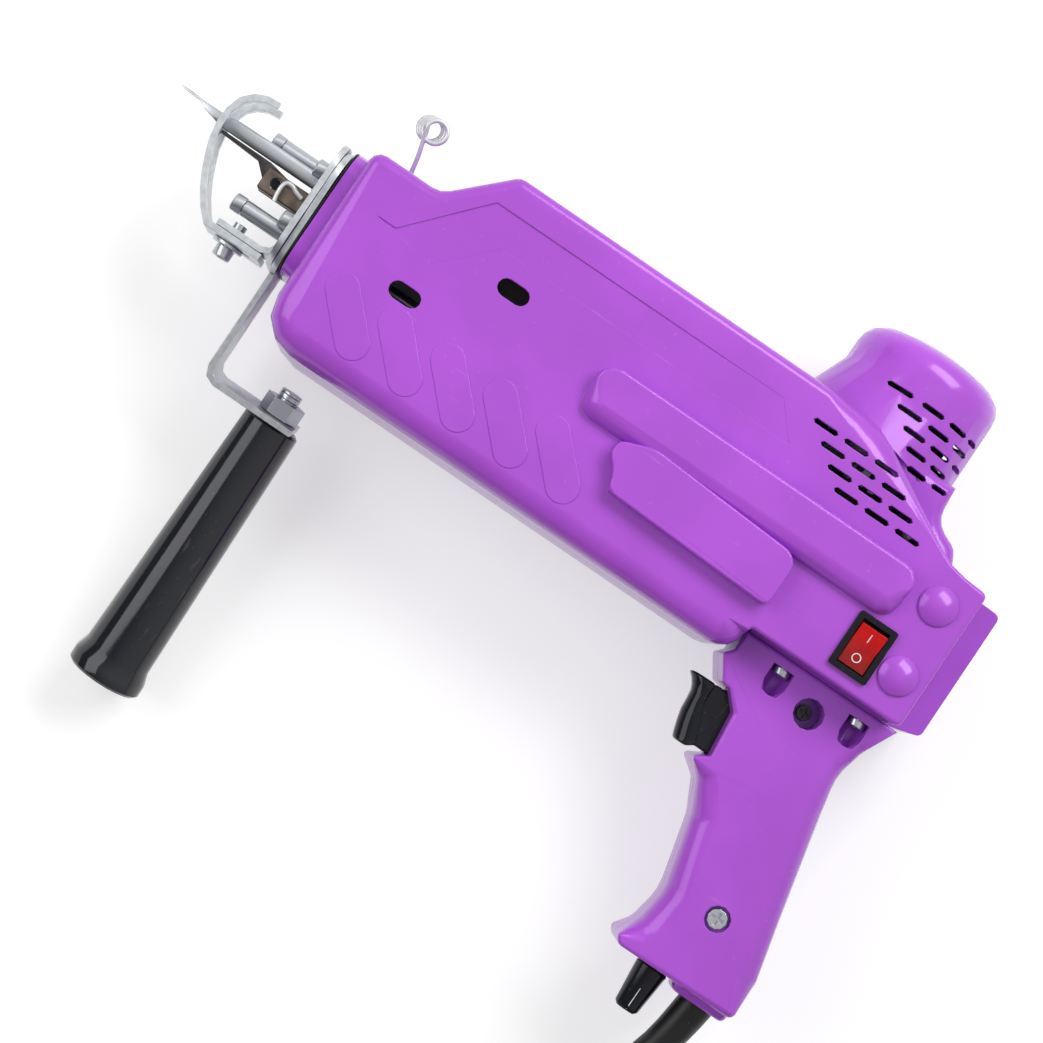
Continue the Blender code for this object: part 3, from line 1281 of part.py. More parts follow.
def main_frame():
    """Casting that carries the bushes, the gear and the motor, seated in the body's nose."""
    width = FRAME_WIDTH / 2
    rear = GEAR_RADIUS - WALL
    nose_rear = -BODY_REACH + 2 * WALL
    item = box("frame", (nose_rear - SUNK, -width, FRAME_BASE), (rear, width * FRAME_TOP_SHARE, FRAME_TOP))
    boss = cylinder("boss", (PLATE_BACK + FIT, -COLLAR_DROP, SEAM_Z), (1, 0, 0),
                    nose_rear - PLATE_BACK - FIT, BOSS_RADIUS, WIDE_SIDES)
    wall = slab("wall", collar_outline(-2 * WALL), nose_rear - WALL + FIT, nose_rear, "X")
    join(item, boss, wall)
    for x in (FRONT_BUSH_X, REAR_BUSH_X):
        low = (x + WALL, -BUSH_RADIUS - WALL, FRAME_TOP - SUNK)
        high = (x + BUSH_LENGTH - WALL, BUSH_RADIUS + WALL, SEAM_Z + BUSH_RADIUS + WALL)
        block = box("block", low, high)
        start = (x - OVERRUN, 0, SEAM_Z)
        cut(block, cylinder("bore", start, (1, 0, 0), BUSH_LENGTH + 2 * OVERRUN, BUSH_RADIUS + FIT))
        bake(block)
        join(item, block)
    flange_y = MOTOR_START - FIT
    half = MOTOR_RADIUS * FLANGE_FOOT_SHARE
    flange_base = (0, flange_y - FRAME_PLATE / 2, SEAM_Z)
    flange = cylinder("flange", flange_base, (0, 1, 0), FRAME_PLATE / 2, MOTOR_RADIUS + SUNK, SMALL_SIDES)
    hole = (0, flange_y + OVERRUN, SEAM_Z)
    cut(flange, cylinder("shaft_hole", hole, (0, -1, 0), FRAME_PLATE + 2 * OVERRUN, 2 * SHAFT_RADIUS + SUNK))
    bake(flange)
    foot = box("foot", (-half, width * FRAME_TOP_SHARE - SUNK, FRAME_BASE), (half, flange_y, FRAME_TOP))
    join(item, foot, flange)
    inner = WALL + RAIL_RISE + FIT
    for x in (REAR_BUSH_X + BUSH_LENGTH / 2, rear - 3 * WALL, FRONT_BUSH_X + BUSH_LENGTH / 2):
        height = FRAME_TOP - inner - SUNK
        join(item, cylinder("pillar", (x, 0, inner), (0, 0, 1), height, WALL * 2, SMALL_SIDES))
    opening = rounded([
        (-NOSE_OPENING_BOTTOM - BUSH_RADIUS, SEAM_Z - NOSE_OPENING_WIDTH / 2, WALL),
        (NOSE_OPENING_TOP, SEAM_Z - NOSE_OPENING_WIDTH / 2, WALL),
        (NOSE_OPENING_TOP, SEAM_Z + NOSE_OPENING_WIDTH / 2, WALL),
        (-NOSE_OPENING_BOTTOM - BUSH_RADIUS, SEAM_Z + NOSE_OPENING_WIDTH / 2, WALL),
    ])
    cut(item, slab("opening", opening, PLATE_BACK - OVERRUN, nose_rear + OVERRUN, "X"))
    for y, z in plate_screw_places():
        start = (PLATE_BACK - OVERRUN, y, z)
        length = PLATE_SCREW_LENGTH + OVERRUN
        cut(item, cylinder("screw_hole", start, (1, 0, 0), length, SCREW_RADIUS + FIT, SMALL_SIDES))
    bore = (0, 0, FRAME_BASE - OVERRUN)
    cut(item, cylinder("bearing_bore", bore, (0, 0, 1), FRAME_PLATE + 2 * OVERRUN, PIN_BAR_RADIUS + WALL))
    finish(item, "main_frame", "cast_metal")


def bushes():
    """Plain bushes that guide the needle bar."""
    for name, x in (("front_bush", FRONT_BUSH_X), ("rear_bush", REAR_BUSH_X)):
        item = cylinder("bush", (x, 0, SEAM_Z), (1, 0, 0), BUSH_LENGTH, BUSH_RADIUS)
        start = (x - OVERRUN, 0, SEAM_Z)
        cut(item, cylinder("bore", start, (1, 0, 0), BUSH_LENGTH + 2 * OVERRUN, BAR_RADIUS + FIT))
        finish(item, name, "brass")


def motor():
    """Motor can in the bump and its shaft, which carries the pinion."""
    top = MOTOR_START + MOTOR_LENGTH
    chamfer = CRISP_EDGE
    profile = (
        (0, top),
        (MOTOR_RADIUS - chamfer, top),
        (MOTOR_RADIUS, top - chamfer),
        (MOTOR_RADIUS, MOTOR_START + chamfer),
        (MOTOR_RADIUS - chamfer, MOTOR_START),
        (0, MOTOR_START),
    )
    can = turned("can", profile, (0, 0, SEAM_Z), (0, 1, 0), WIDE_SIDES)
    depth = MOTOR_LENGTH / 4
    start = (0, MOTOR_START - OVERRUN, SEAM_Z)
    cut(can, cylinder("shaft_hole", start, (0, 1, 0), depth + OVERRUN, SHAFT_RADIUS + FIT, SMALL_SIDES))
    finish(can, "motor", "dark_steel")
    low = GEAR_RADIUS + FIT - PINION_LENGTH
    shaft = cylinder("shaft", (0, low - SUNK, SEAM_Z), (0, 1, 0),
                     MOTOR_START + depth - low, SHAFT_RADIUS, SMALL_SIDES)
    ratio = PINION_TEETH / GEAR_TEETH
    tip = GEAR_RADIUS * ratio - TOOTH_DEPTH / 2
    outline = [(z + SEAM_Z, x) for z, x in gear_outline(tip, PINION_TEETH, TOOTH_DEPTH)]
    join(shaft, slab("pinion", outline, low, low + PINION_LENGTH, "Y"))
    finish(shaft, "motor_shaft", "zinc_steel", (0, low, SEAM_Z))


def crank():
    """Driven gear with its hub, the crank pin on it and its bearing in the frame."""
    base = GEAR_TOP - GEAR_THICKNESS
    gear = slab("gear", gear_outline(GEAR_RADIUS, GEAR_TEETH, TOOTH_DEPTH), base, GEAR_TOP)
    floor = (0, 0, GEAR_TOP - WALL)
    cut(gear, cylinder("recess", floor, (0, 0, 1), OVERRUN, GEAR_RADIUS - 2 * WALL))
    join(gear, cylinder("pad", (-CRANK_RADIUS, 0, base + SUNK), (0, 0, 1),
                        GEAR_TOP - base - SUNK, PIN_BAR_RADIUS + WALL, SMALL_SIDES))
    cut(gear, cylinder("pin_hole", (-CRANK_RADIUS, 0, base + WALL), (0, 0, 1), GEAR_THICKNESS,
                       PIN_BAR_RADIUS + FIT))
    stub = cylinder("stub", (0, 0, FRAME_BASE), (0, 0, 1), base - FRAME_BASE + SUNK, PIN_BAR_RADIUS)
    join(gear, stub)
    finish(gear, "drive_gear", "dark_steel", (0, 0, GEAR_TOP))
    pin_base = base + WALL + FIT
    pin = cylinder("pin", (-CRANK_RADIUS, 0, pin_base), (0, 0, 1), ROD_BASE - FIT - pin_base, PIN_BAR_RADIUS)
    finish(pin, "crank_pin", "zinc_steel", (0, 0, GEAR_TOP))
    bearing = cylinder("bearing", (0, 0, FRAME_BASE), (0, 0, 1), FRAME_PLATE, PIN_BAR_RADIUS + WALL - FIT)
    start = (0, 0, FRAME_BASE - OVERRUN)
    cut(bearing, cylinder("bore", start, (0, 0, 1), FRAME_PLATE + 2 * OVERRUN, PIN_BAR_RADIUS + FIT))
    finish(bearing, "gear_bearing", "brass")


def connecting_rod():
    """Rod between crank and slider, with its wrist pin and the slider block."""
    big, small = ROD_WIDTH * ROD_EYE_SHARE, ROD_WIDTH / 2 + WALL
    top = SEAM_Z + ROD_THICKNESS / 2
    eye_holes = (circle(WRIST_X, 0, PIN_BAR_RADIUS + FIT, SMALL_SIDES),)
    rod = slab("rod", circle(WRIST_X, 0, small), ROD_BASE, top, holes=eye_holes)
    eye = cylinder("eye", (-CRANK_RADIUS, 0, ROD_BASE), (0, 0, 1), ROD_THICKNESS, big)
    web_start = WRIST_X + small - SUNK
    web = box("web", (web_start, -ROD_WIDTH / 2, ROD_BASE + SUNK), (-CRANK_RADIUS, ROD_WIDTH / 2, top - SUNK))
    join(rod, eye, web)
    finish(rod, "connecting_rod", "zinc_steel", (WRIST_X, 0, SEAM_Z))
    half = SLIDER_SIDE / 2
    low = (WRIST_X - SLIDER_LENGTH / 2, -half, SEAM_Z - half)
    block = box("block", low, (WRIST_X + SLIDER_LENGTH / 2, half, SEAM_Z + half), CRISP_EDGE)
    slot = box("slot", (WRIST_X - small - 2 * FIT, -half - OVERRUN, ROD_BASE - FIT),
               (WRIST_X + SLIDER_LENGTH, half + OVERRUN, top + FIT))
    pin_hole = cylinder("pin_hole", (WRIST_X, 0, SEAM_Z - half - OVERRUN), (0, 0, 1),
                        SLIDER_SIDE + 2 * OVERRUN, PIN_BAR_RADIUS + FIT)
    bar_hole = cylinder("bar_hole", (WRIST_X - SLIDER_LENGTH, 0, SEAM_Z), (1, 0, 0),
                        SLIDER_LENGTH - small - 4 * FIT, BAR_RADIUS + FIT)
    cut(block, slot, pin_hole, bar_hole)
    finish(block, "slider_block", "cast_metal", (WRIST_X, 0, SEAM_Z))
    length = SLIDER_SIDE - 2 * FIT
    pin = cylinder("pin", (WRIST_X, 0, SEAM_Z - length / 2), (0, 0, 1), length, PIN_BAR_RADIUS)
    finish(pin, "wrist_pin", "zinc_steel", (WRIST_X, 0, SEAM_Z))


def needle_bar():
    """Needle bar with its socket, clamp screw and the hollow pointed needle."""
    rear = WRIST_X - ROD_WIDTH / 2 - WALL - 5 * FIT
    bar = cylinder("bar", (BAR_FRONT, 0, SEAM_Z), (1, 0, 0), rear - BAR_FRONT, BAR_RADIUS)
    start = (BAR_FRONT - OVERRUN, 0, SEAM_Z)
    cut(bar, cylinder("socket", start, (1, 0, 0), BAR_SOCKET + OVERRUN, NEEDLE_RADIUS + FIT, SMALL_SIDES))
    clamp_x = BAR_FRONT + BAR_SOCKET / 2
    above = (clamp_x, NEEDLE_RADIUS, SEAM_Z)
    cut(bar, cylinder("clamp_hole", above, (0, 1, 0), BAR_RADIUS, SCREW_RADIUS / 2 + FIT, SMALL_SIDES))
    pivot = (BAR_FRONT, 0, SEAM_Z)
    finish(bar, "needle_bar", "zinc_steel", pivot)
    head = (clamp_x, BAR_RADIUS + FIT, SEAM_Z)
    reach = BAR_RADIUS - NEEDLE_RADIUS
    clamp = screw("clamp", head, (0, -1, 0), reach, CLAMP_SCREW_SIZES)
    finish(clamp, "needle_clamp_screw", "dark_steel", pivot)
    back = BAR_FRONT + BAR_SOCKET - FIT
    front = NEEDLE_FRONT + NEEDLE_UNIT * NEEDLE_TUBE_SHARE
    needle = cylinder("needle", (front, 0, SEAM_Z), (1, 0, 0), back - front, NEEDLE_RADIUS, SMALL_SIDES)
    outline = [(NEEDLE_FRONT + NEEDLE_UNIT * x, NEEDLE_RADIUS * y) for x, y in NEEDLE_SHARES]
    slant = [(NEEDLE_FRONT + NEEDLE_UNIT * x, NEEDLE_RADIUS * y) for x, y in NEEDLE_SLANT_SHARES]
    side = NEEDLE_RADIUS + OVERRUN
    cut(needle, slab("slant", slant, SEAM_Z - side, SEAM_Z + side))
    cut(needle, cylinder("yarn_bore", (front - OVERRUN, 0, SEAM_Z), (1, 0, 0), NEEDLE_BORE + OVERRUN,
                         NEEDLE_RADIUS * NEEDLE_BORE_SHARE, SMALL_SIDES))
    join(needle, slab("point", outline, SEAM_Z - NEEDLE_BLADE / 2, SEAM_Z + NEEDLE_BLADE / 2))
    finish(needle, "needle", "zinc_steel", pivot)


def cutter_rod():
    """Rod that works the moving blade, and the speed board beside it."""
    front, rear = PLATE_FRONT - CUTTER_REACH, REAR_BUSH_X + BUSH_LENGTH
    start = (front, CUTTER_ROD_Y, SEAM_Z)
    rod = cylinder("rod", start, (1, 0, 0), rear - front, CUTTER_ROD_RADIUS, SMALL_SIDES)
    finish(rod, "cutter_rod", "zinc_steel", (rear, CUTTER_ROD_Y, SEAM_Z))
    length, width, thickness = BOARD_SIZE
    x = BODY_REAR - WALL - length - 2 * SUNK
    low = (x, -REAR_BOTTOM + WALL + SUNK, WALL + RAIL_RISE + FIT)
    board = box("board", low, (x + length, low[1] + width, low[2] + thickness))
    for index in range(BOARD_CHIPS):
        chip_x = x + length * (index + 1) / (BOARD_CHIPS + 1)
        side = width / (BOARD_CHIPS + 2)
        base = (chip_x - side / 2, low[1] + side, low[2] + thickness - SUNK / 2)
        join(board, box("chip", base, (chip_x + side / 2, low[1] + width - side, low[2] + side)))
    finish(board, "speed_board", "board_green")


def plate_screw_places():
    """Places of the three cap screws about the nose's axis; the upper post has the fourth corner."""
    high = PLATE_SCREW_SPREAD_Y / 2 - PLATE_SCREW_DROP
    low = high - PLATE_SCREW_SPREAD_Y
    half = PLATE_SCREW_SPREAD_Z / 2
    return [(high, SEAM_Z + half), (low, SEAM_Z + half), (low, SEAM_Z - half)]


def nose_plates():
    """Gasket, front plate with its bent arm, and the screws that hold the stack to the nose."""
    sizes = (SCREW_HEAD_RADIUS, SCREW_HEAD_LENGTH, SCREW_RADIUS)
    opening = [circle(-COLLAR_DROP, SEAM_Z, BOSS_RADIUS + FIT, WIDE_SIDES)]
    gasket = slab("gasket", collar_outline(), GASKET_BACK - GASKET_THICKNESS, GASKET_BACK, "X", opening)
    finish(gasket, "nose_gasket", "black_rubber")
    window = rounded([
        (-NOSE_OPENING_BOTTOM, SEAM_Z - NOSE_OPENING_WIDTH / 2, WALL),
        (NOSE_OPENING_TOP, SEAM_Z - NOSE_OPENING_WIDTH / 2, WALL),
        (NOSE_OPENING_TOP, SEAM_Z + NOSE_OPENING_WIDTH / 2, WALL),
        (-NOSE_OPENING_BOTTOM, SEAM_Z + NOSE_OPENING_WIDTH / 2, WALL),
    ])
    screws = [circle(y, z, SCREW_RADIUS + FIT, SMALL_SIDES) for y, z in plate_screw_places()]
    rod_hole = [circle(CUTTER_ROD_Y, SEAM_Z, CUTTER_ROD_RADIUS + FIT, SMALL_SIDES)]
    plate = slab("plate", collar_outline(), PLATE_FRONT, PLATE_BACK, "X", [window] + screws + rod_hole)
    arm_top = -ARM_DROP + PLATE_THICKNESS
    inside = PLATE_THICKNESS * BEND_SHARE
    bend = [
        (PLATE_FRONT - ARM_REACH, (-ARM_DROP + arm_top) / 2),
        (PLATE_FRONT - 2 * PLATE_THICKNESS, (-ARM_DROP + arm_top) / 2),
        (PLATE_FRONT - inside, (-ARM_DROP + arm_top) / 2 + inside),
        (PLATE_BACK - PLATE_THICKNESS / 2, arm_top + 2 * PLATE_THICKNESS),
    ]
    half = ARM_WIDTH / 2
    arm = slab("arm", strip(bend, PLATE_THICKNESS), SEAM_Z - half, SEAM_Z + half)
    bolt = (FOOT_BOLT_X, arm_top + OVERRUN, SEAM_Z)
    bolt_hole = cylinder("bolt_hole", bolt, (0, -1, 0), ARM_DROP, FOOT_BOLT_RADIUS + FIT, SMALL_SIDES)
    finish(cut(join(plate, arm), bolt_hole), "foot_bracket", "zinc_steel")
    for index, (y, z) in enumerate(plate_screw_places()):
        head = (PLATE_FRONT - FIT, y, z)
        item = screw("screw", head, (1, 0, 0), PLATE_SCREW_LENGTH - SUNK, sizes)
        finish(item, f"plate_screw_{index + 1}", "dark_steel")
    for name, (reach, y, z) in (("upper", POST_UPPER), ("lower", POST_LOWER)):
        start = (PLATE_FRONT - FIT, y, SEAM_Z + z)
        length = reach - FIT - POST_HEAD_LENGTH
        post = cylinder("post", start, (-1, 0, 0), length, POST_RADIUS, SMALL_SIDES)
        bore = (start[0] - length - OVERRUN, y, SEAM_Z + z)
        cut(post, cylinder("bore", bore, (1, 0, 0), OVERRUN + POST_BORE, SCREW_RADIUS + FIT, SMALL_SIDES))
        finish(post, f"post_{name}", "zinc_steel")
        head = (start[0] - length - FIT, y, SEAM_Z + z)
        item = screw("screw", head, (1, 0, 0), POST_BORE - SUNK, sizes)
        finish(item, f"post_screw_{name}", "dark_steel")


def cutter():
    """Cutter holder with the fixed and the moving blade, their pivot and the wire hook."""
    front = PLATE_FRONT - FIT - HOLDER_LENGTH
    half = HOLDER_WIDTH / 2
    low = (front, HOLDER_TOP - HOLDER_HEIGHT, SEAM_Z - half)
    holder = box("holder", low, (PLATE_FRONT - FIT, HOLDER_TOP, SEAM_Z + half), CRISP_EDGE / 2)
    pivot_y = HOLDER_TOP - HOLDER_HEIGHT * HOLDER_PIVOT_SHARE
    pivot_x = front + HOLDER_HEIGHT / 2 + SUNK
    bore = cylinder("bore", (pivot_x, pivot_y, SEAM_Z - half - OVERRUN), (0, 0, 1),
                    HOLDER_WIDTH + 2 * OVERRUN, SCREW_RADIUS + FIT, SMALL_SIDES)
    slot_half = BLADE_THICKNESS + 2 * FIT
    slot = box("slot", (front - OVERRUN, low[1] - OVERRUN, SEAM_Z - slot_half),
               (pivot_x + BLADE_HEIGHT + CUTTER_STROKE, HOLDER_TOP + OVERRUN, SEAM_Z + slot_half))
    cut(holder, bore, slot)
    finish(holder, "cutter_holder", "dark_steel")
    tip = PLATE_FRONT - BLADE_REACH - pivot_x
    for name, side in (("fixed_blade", 1), ("moving_blade", -1)):
        points = [(pivot_x + tip * x, pivot_y + BLADE_HEIGHT * y) for x, y in BLADE_SHARES]
        near, far = FIT / 2, FIT / 2 + BLADE_THICKNESS
        hole = [circle(pivot_x, pivot_y, SCREW_RADIUS + FIT, SMALL_SIDES)]
        blade = slab(name, points, SEAM_Z + side * near, SEAM_Z + side * far, holes=hole)
        finish(blade, name, "dark_steel", (pivot_x, pivot_y, SEAM_Z))
    start = (pivot_x, pivot_y, SEAM_Z - half)
    pin = cylinder("pin", start, (0, 0, 1), HOLDER_WIDTH, SCREW_RADIUS, SMALL_SIDES)
    finish(pin, "blade_pivot", "zinc_steel")
    hook_z = SEAM_Z + half + HOOK_WIRE + FIT
    route = [
        (PLATE_FRONT - HOLDER_LENGTH * x, HOLDER_TOP - HOLDER_HEIGHT * y, hook_z) for x, y in HOOK_SHARES
    ]
    finish(tube("hook", route, HOOK_WIRE), "thread_hook", "zinc_steel")


def presser_foot():
    """Forked presser foot that slides on the bracket's arm, with its bolt and washer."""
    outer = -ARM_DROP - FIT - FOOT_THICKNESS / 2
    rear = PLATE_FRONT - FOOT_LEG_GAP
    middle = [(rear, outer)]
    middle += [(PLATE_FRONT - FOOT_REACH * x, FOOT_HEIGHT * y + outer) for x, y in FOOT_SHARES]
    half = FOOT_WIDTH / 2
    foot = slab("foot", strip(middle, FOOT_THICKNESS), SEAM_Z - half, SEAM_Z + half)
    fork_foot = outer + FOOT_HEIGHT * FORK_SHARE
    low = (PLATE_FRONT - FOOT_REACH - OVERRUN, fork_foot, SEAM_Z - FOOT_SLOT / 2)
    fork = box("fork", low, (rear, FOOT_HEIGHT, SEAM_Z + FOOT_SLOT / 2))
    run = FOOT_FORWARD + FOOT_BACK + 2 * FOOT_BOLT_RADIUS + 2 * FIT
    middle_x = FOOT_BOLT_X + (FOOT_FORWARD - FOOT_BACK) / 2
    slot = [(z + SEAM_Z, x) for x, z in obround(middle_x, 0, run, 2 * (FOOT_BOLT_RADIUS + FIT))]
    cut(foot, fork, slab("slot", slot, outer - OVERRUN, outer + OVERRUN / 2, "Y"))
    finish(foot, "presser_foot", "zinc_steel", (FOOT_BOLT_X, outer, SEAM_Z))
    under = outer - FOOT_THICKNESS / 2
    washer_top = (FOOT_BOLT_X, under - FIT - WASHER_THICKNESS, SEAM_Z)
    washer = cylinder("washer", washer_top, (0, 1, 0), WASHER_THICKNESS, 2 * FOOT_BOLT_RADIUS + SUNK)
    hole = (FOOT_BOLT_X, washer_top[1] - OVERRUN, SEAM_Z)
    cut(washer, cylinder("hole", hole, (0, 1, 0), 2 * OVERRUN, FOOT_BOLT_RADIUS + FIT, SMALL_SIDES))
    finish(washer, "foot_washer", "zinc_steel")
    head = (FOOT_BOLT_X, washer_top[1] - FIT, SEAM_Z)
    sizes = (FOOT_BOLT_RADIUS + SUNK, SCREW_HEAD_LENGTH, FOOT_BOLT_RADIUS)
    finish(screw("bolt", head, (0, 1, 0), FOOT_BOLT_LENGTH, sizes), "foot_bolt", "zinc_steel")


def front_handle():
    """Swinging handle: ring on the nose, bent strip, bolt, nut and the tapered tube."""
    pivot = (RING_BACK, -COLLAR_DROP, SEAM_Z)
    swing = about(pivot, "X", HANDLE_SWING)
    hole = [circle(-COLLAR_DROP, SEAM_Z, BOSS_RADIUS + FIT, WIDE_SIDES)]
    ring = slab("ring", collar_outline(), RING_FRONT, RING_BACK, "X", hole)
    half = HANDLE_STRIP / 2
    foot = -HANDLE_ARM_BOTTOM
    top = -COLLAR_DROP - COLLAR_SIZE / 2 + SUNK
    middle = (RING_FRONT + RING_BACK) / 2
    level = foot + PLATE_THICKNESS / 2
    bend = [
        (middle, top),
        (middle, level + 2 * PLATE_THICKNESS),
        (middle + PLATE_THICKNESS * BEND_SHARE, level + PLATE_THICKNESS * BEND_SHARE),
        (middle + 2 * PLATE_THICKNESS, level),
        (RING_FRONT + HANDLE_LEG, level),
    ]
    arm = slab("arm", strip(bend, RING_BACK - RING_FRONT), SEAM_Z - half, SEAM_Z + half)
    bolt_hole = (HANDLE_X, foot - OVERRUN, SEAM_Z)
    join(ring, arm)
    cut(ring, cylinder("bolt_hole", bolt_hole, (0, 1, 0), 3 * OVERRUN, HANDLE_BOLT_RADIUS + FIT, SMALL_SIDES))
    finish(ring, "handle_bracket", "zinc_steel", pivot, swing)
    plate_top = foot + PLATE_THICKNESS
    nut_outline = [(z + SEAM_Z, x) for x, z in circle(HANDLE_X, 0, NUT_RADIUS, 6)]
    nut_low = plate_top + FIT
    nut = slab("nut", nut_outline, nut_low, nut_low + NUT_HEIGHT, "Y")
    start = (HANDLE_X, nut_low - OVERRUN, SEAM_Z)
    bore = NUT_HEIGHT + 2 * OVERRUN
    cut(nut, cylinder("hole", start, (0, 1, 0), bore, HANDLE_BOLT_RADIUS + FIT, SMALL_SIDES))
    finish(nut, "handle_nut", "zinc_steel", pivot, swing)
    tube_top = foot - FIT
    profile = (
        (0, tube_top),
        (HANDLE_RADIUS - SUNK, tube_top),
        (HANDLE_RADIUS, tube_top - SUNK),
        (HANDLE_END_RADIUS, tube_top - HANDLE_LENGTH + HANDLE_RIM_LENGTH * 2),
        (HANDLE_RIM, tube_top - HANDLE_LENGTH + HANDLE_RIM_LENGTH),
        (HANDLE_RIM, tube_top - HANDLE_LENGTH + SUNK),
        (HANDLE_RIM - SUNK, tube_top - HANDLE_LENGTH),
        (0, tube_top - HANDLE_LENGTH),
    )
    grip = turned("grip", profile, (HANDLE_X, 0, SEAM_Z), (0, 1, 0))
    hollow = (HANDLE_X, tube_top - HANDLE_LENGTH - OVERRUN, SEAM_Z)
    depth = HANDLE_LENGTH * HANDLE_HOLLOW_SHARE + OVERRUN
    cut(grip, cylinder("hollow", hollow, (0, 1, 0), depth, HANDLE_RADIUS - WALL))
    bore = HANDLE_BOLT_GRIP + SUNK
    cut(grip, cylinder("bore", (HANDLE_X, tube_top - bore, SEAM_Z), (0, 1, 0), bore + OVERRUN,
                       HANDLE_BOLT_RADIUS + FIT, SMALL_SIDES))
    finish(grip, "handle_grip", "black_plastic", pivot, swing)
    tip = nut_low + NUT_HEIGHT + HANDLE_BOLT_TIP
    low = tube_top - HANDLE_BOLT_GRIP
    bolt = cylinder("bolt", (HANDLE_X, low, SEAM_Z), (0, 1, 0), tip - low, HANDLE_BOLT_RADIUS, SMALL_SIDES)
    for index in range(BOLT_RINGS):
        place = (HANDLE_X, tip - BOLT_THREAD_PITCH * (index + 1 / 2), SEAM_Z)
        out = HANDLE_BOLT_RADIUS + SUNK
        deep = HANDLE_BOLT_RADIUS * THREAD_ROOT_SHARE
        half = BOLT_THREAD_PITCH / 4
        ring = ((out, half), (out, -half), (deep, 0), (out, half))
        cut(bolt, turned("groove", ring, place, (0, 1, 0), SMALL_SIDES))
    finish(bolt, "handle_bolt", "zinc_steel", pivot, swing)


def guide_foot():
    """Points of the yarn guide's foot along the valley and up the slope, and its screw's seat."""
    height = SEAM_Z + GUIDE_Z
    level = NOSE_TOP + GUIDE_WIRE + FIT
    valley = -PEAK_X - (BODY_TOP - NOSE_TOP)
    stand = GUIDE_X + GUIDE_EYE
    foot = [
        Vector((valley + GUIDE_RUN, level + GUIDE_RUN + GUIDE_WIRE, height)),
        Vector((valley + GUIDE_WIRE, level + 2 * GUIDE_WIRE, height)),
        Vector((valley - BELLY_ROUND, level, height)),
        Vector((stand + GUIDE_WIRE * 2, level, height)),
        Vector((stand, level + 2 * GUIDE_WIRE, height)),
    ]
    out = Vector((-1, 1, 0)).normalized()
    along = Vector((1, 1, 0)).normalized()
    seat = foot[0] + along * (SCREW_RADIUS + 3 * FIT) + out * (GUIDE_WIRE + FIT)
    return foot, seat, -out


def yarn_guide():
    """Wire eyelet on the top edge and the screw that holds its foot."""
    foot, seat, inward = guide_foot()
    points = []
    for index in range(GUIDE_TURNS * CURL_POINTS + CURL_POINTS // 2 + 1):
        turn = 2 * math.pi * index / CURL_POINTS
        place = (GUIDE_X + GUIDE_EYE * math.cos(turn), GUIDE_EYE_Y - GUIDE_EYE * math.sin(turn))
        points.append(Vector((*place, SEAM_Z + GUIDE_Z + GUIDE_PITCH * index / CURL_POINTS)))
    finish(tube("guide", foot + points, GUIDE_WIRE, 1), "yarn_guide", "zinc_steel")
    sizes = (GUIDE_SCREW_RADIUS, SCREW_HEAD_LENGTH / 2, SCREW_RADIUS)
    finish(screw("screw", seat, inward, GUIDE_SCREW_LENGTH, sizes, "cross"), "yarn_guide_screw", "zinc_steel")


def main():
    start_scene()
    body_half("left_shell", 1)
    body_half("right_shell", -1)
    grip_half("grip_left", 1)
    grip_half("grip_right", -1)
    grip_screws()
    trigger()
    power_switch()
    speed_control()
    lead()
    main_frame()
    bushes()
    motor()
    crank()
    connecting_rod()
    needle_bar()
    cutter_rod()
    nose_plates()
    cutter()
    presser_foot()
    front_handle()
    yarn_guide()


main()
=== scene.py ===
"""Finishes, mains lead, printed marks and studio for a handheld tufting machine.

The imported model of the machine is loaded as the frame. Every size and colour
that a user would change is a property, and every group of pieces has its own
operator in the sidebar.
"""

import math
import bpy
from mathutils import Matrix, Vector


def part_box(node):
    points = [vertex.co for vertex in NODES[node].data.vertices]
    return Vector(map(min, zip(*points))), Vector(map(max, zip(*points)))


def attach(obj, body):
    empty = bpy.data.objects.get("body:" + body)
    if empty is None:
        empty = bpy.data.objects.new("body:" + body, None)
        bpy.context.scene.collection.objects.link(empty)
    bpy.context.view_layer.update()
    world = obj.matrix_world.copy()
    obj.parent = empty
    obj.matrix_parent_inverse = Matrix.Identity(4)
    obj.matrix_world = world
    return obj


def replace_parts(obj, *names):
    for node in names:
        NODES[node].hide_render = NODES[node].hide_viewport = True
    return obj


bl_info = {
    "name": "Handheld tufting machine",
    "version": (1, 0, 0),
    "blender": (4, 5, 0),
    "location": "3D View > Sidebar > Tufting",
    "description": "Dresses the CAD model of a tufting machine for rendering",
    "category": "Object",
}

import bmesh
import bpy
from bpy.props import FloatProperty, FloatVectorProperty, IntProperty, PointerProperty
from mathutils import Matrix, Vector
from mathutils.bvhtree import BVHTree

MM = 0.001
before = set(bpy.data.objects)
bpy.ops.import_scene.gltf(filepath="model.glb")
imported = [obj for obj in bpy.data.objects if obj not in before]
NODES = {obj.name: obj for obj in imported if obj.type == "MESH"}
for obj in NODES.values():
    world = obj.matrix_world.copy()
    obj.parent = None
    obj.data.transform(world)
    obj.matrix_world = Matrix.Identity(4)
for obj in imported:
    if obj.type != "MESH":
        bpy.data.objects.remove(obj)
bpy.context.view_layer.update()

# Route of the lead from its boot to the coil, the same points as in the part's source.
LEAD_ROUTE = (
    (0.0475, -0.185, 0.041), (0.0458, -0.1918, 0.041), (0.0453, -0.206, 0.0375), (0.0462, -0.222, 0.0265),
    (0.0488, -0.240, 0.0125), (0.0502, -0.258, 0.0050), (0.0505, -0.276, 0.0035),
)
COIL_CENTRE = (-0.004, -0.300)
LOOP_POINTS = 24
ROUTE_STEPS = 5

# Strap of the coil: thickness, play and bend, and the loose end's share of its length and width.
STRAP = (0.9 * MM, 0.4 * MM, 3 * MM)
STRAP_END = (0.62, 0.96)

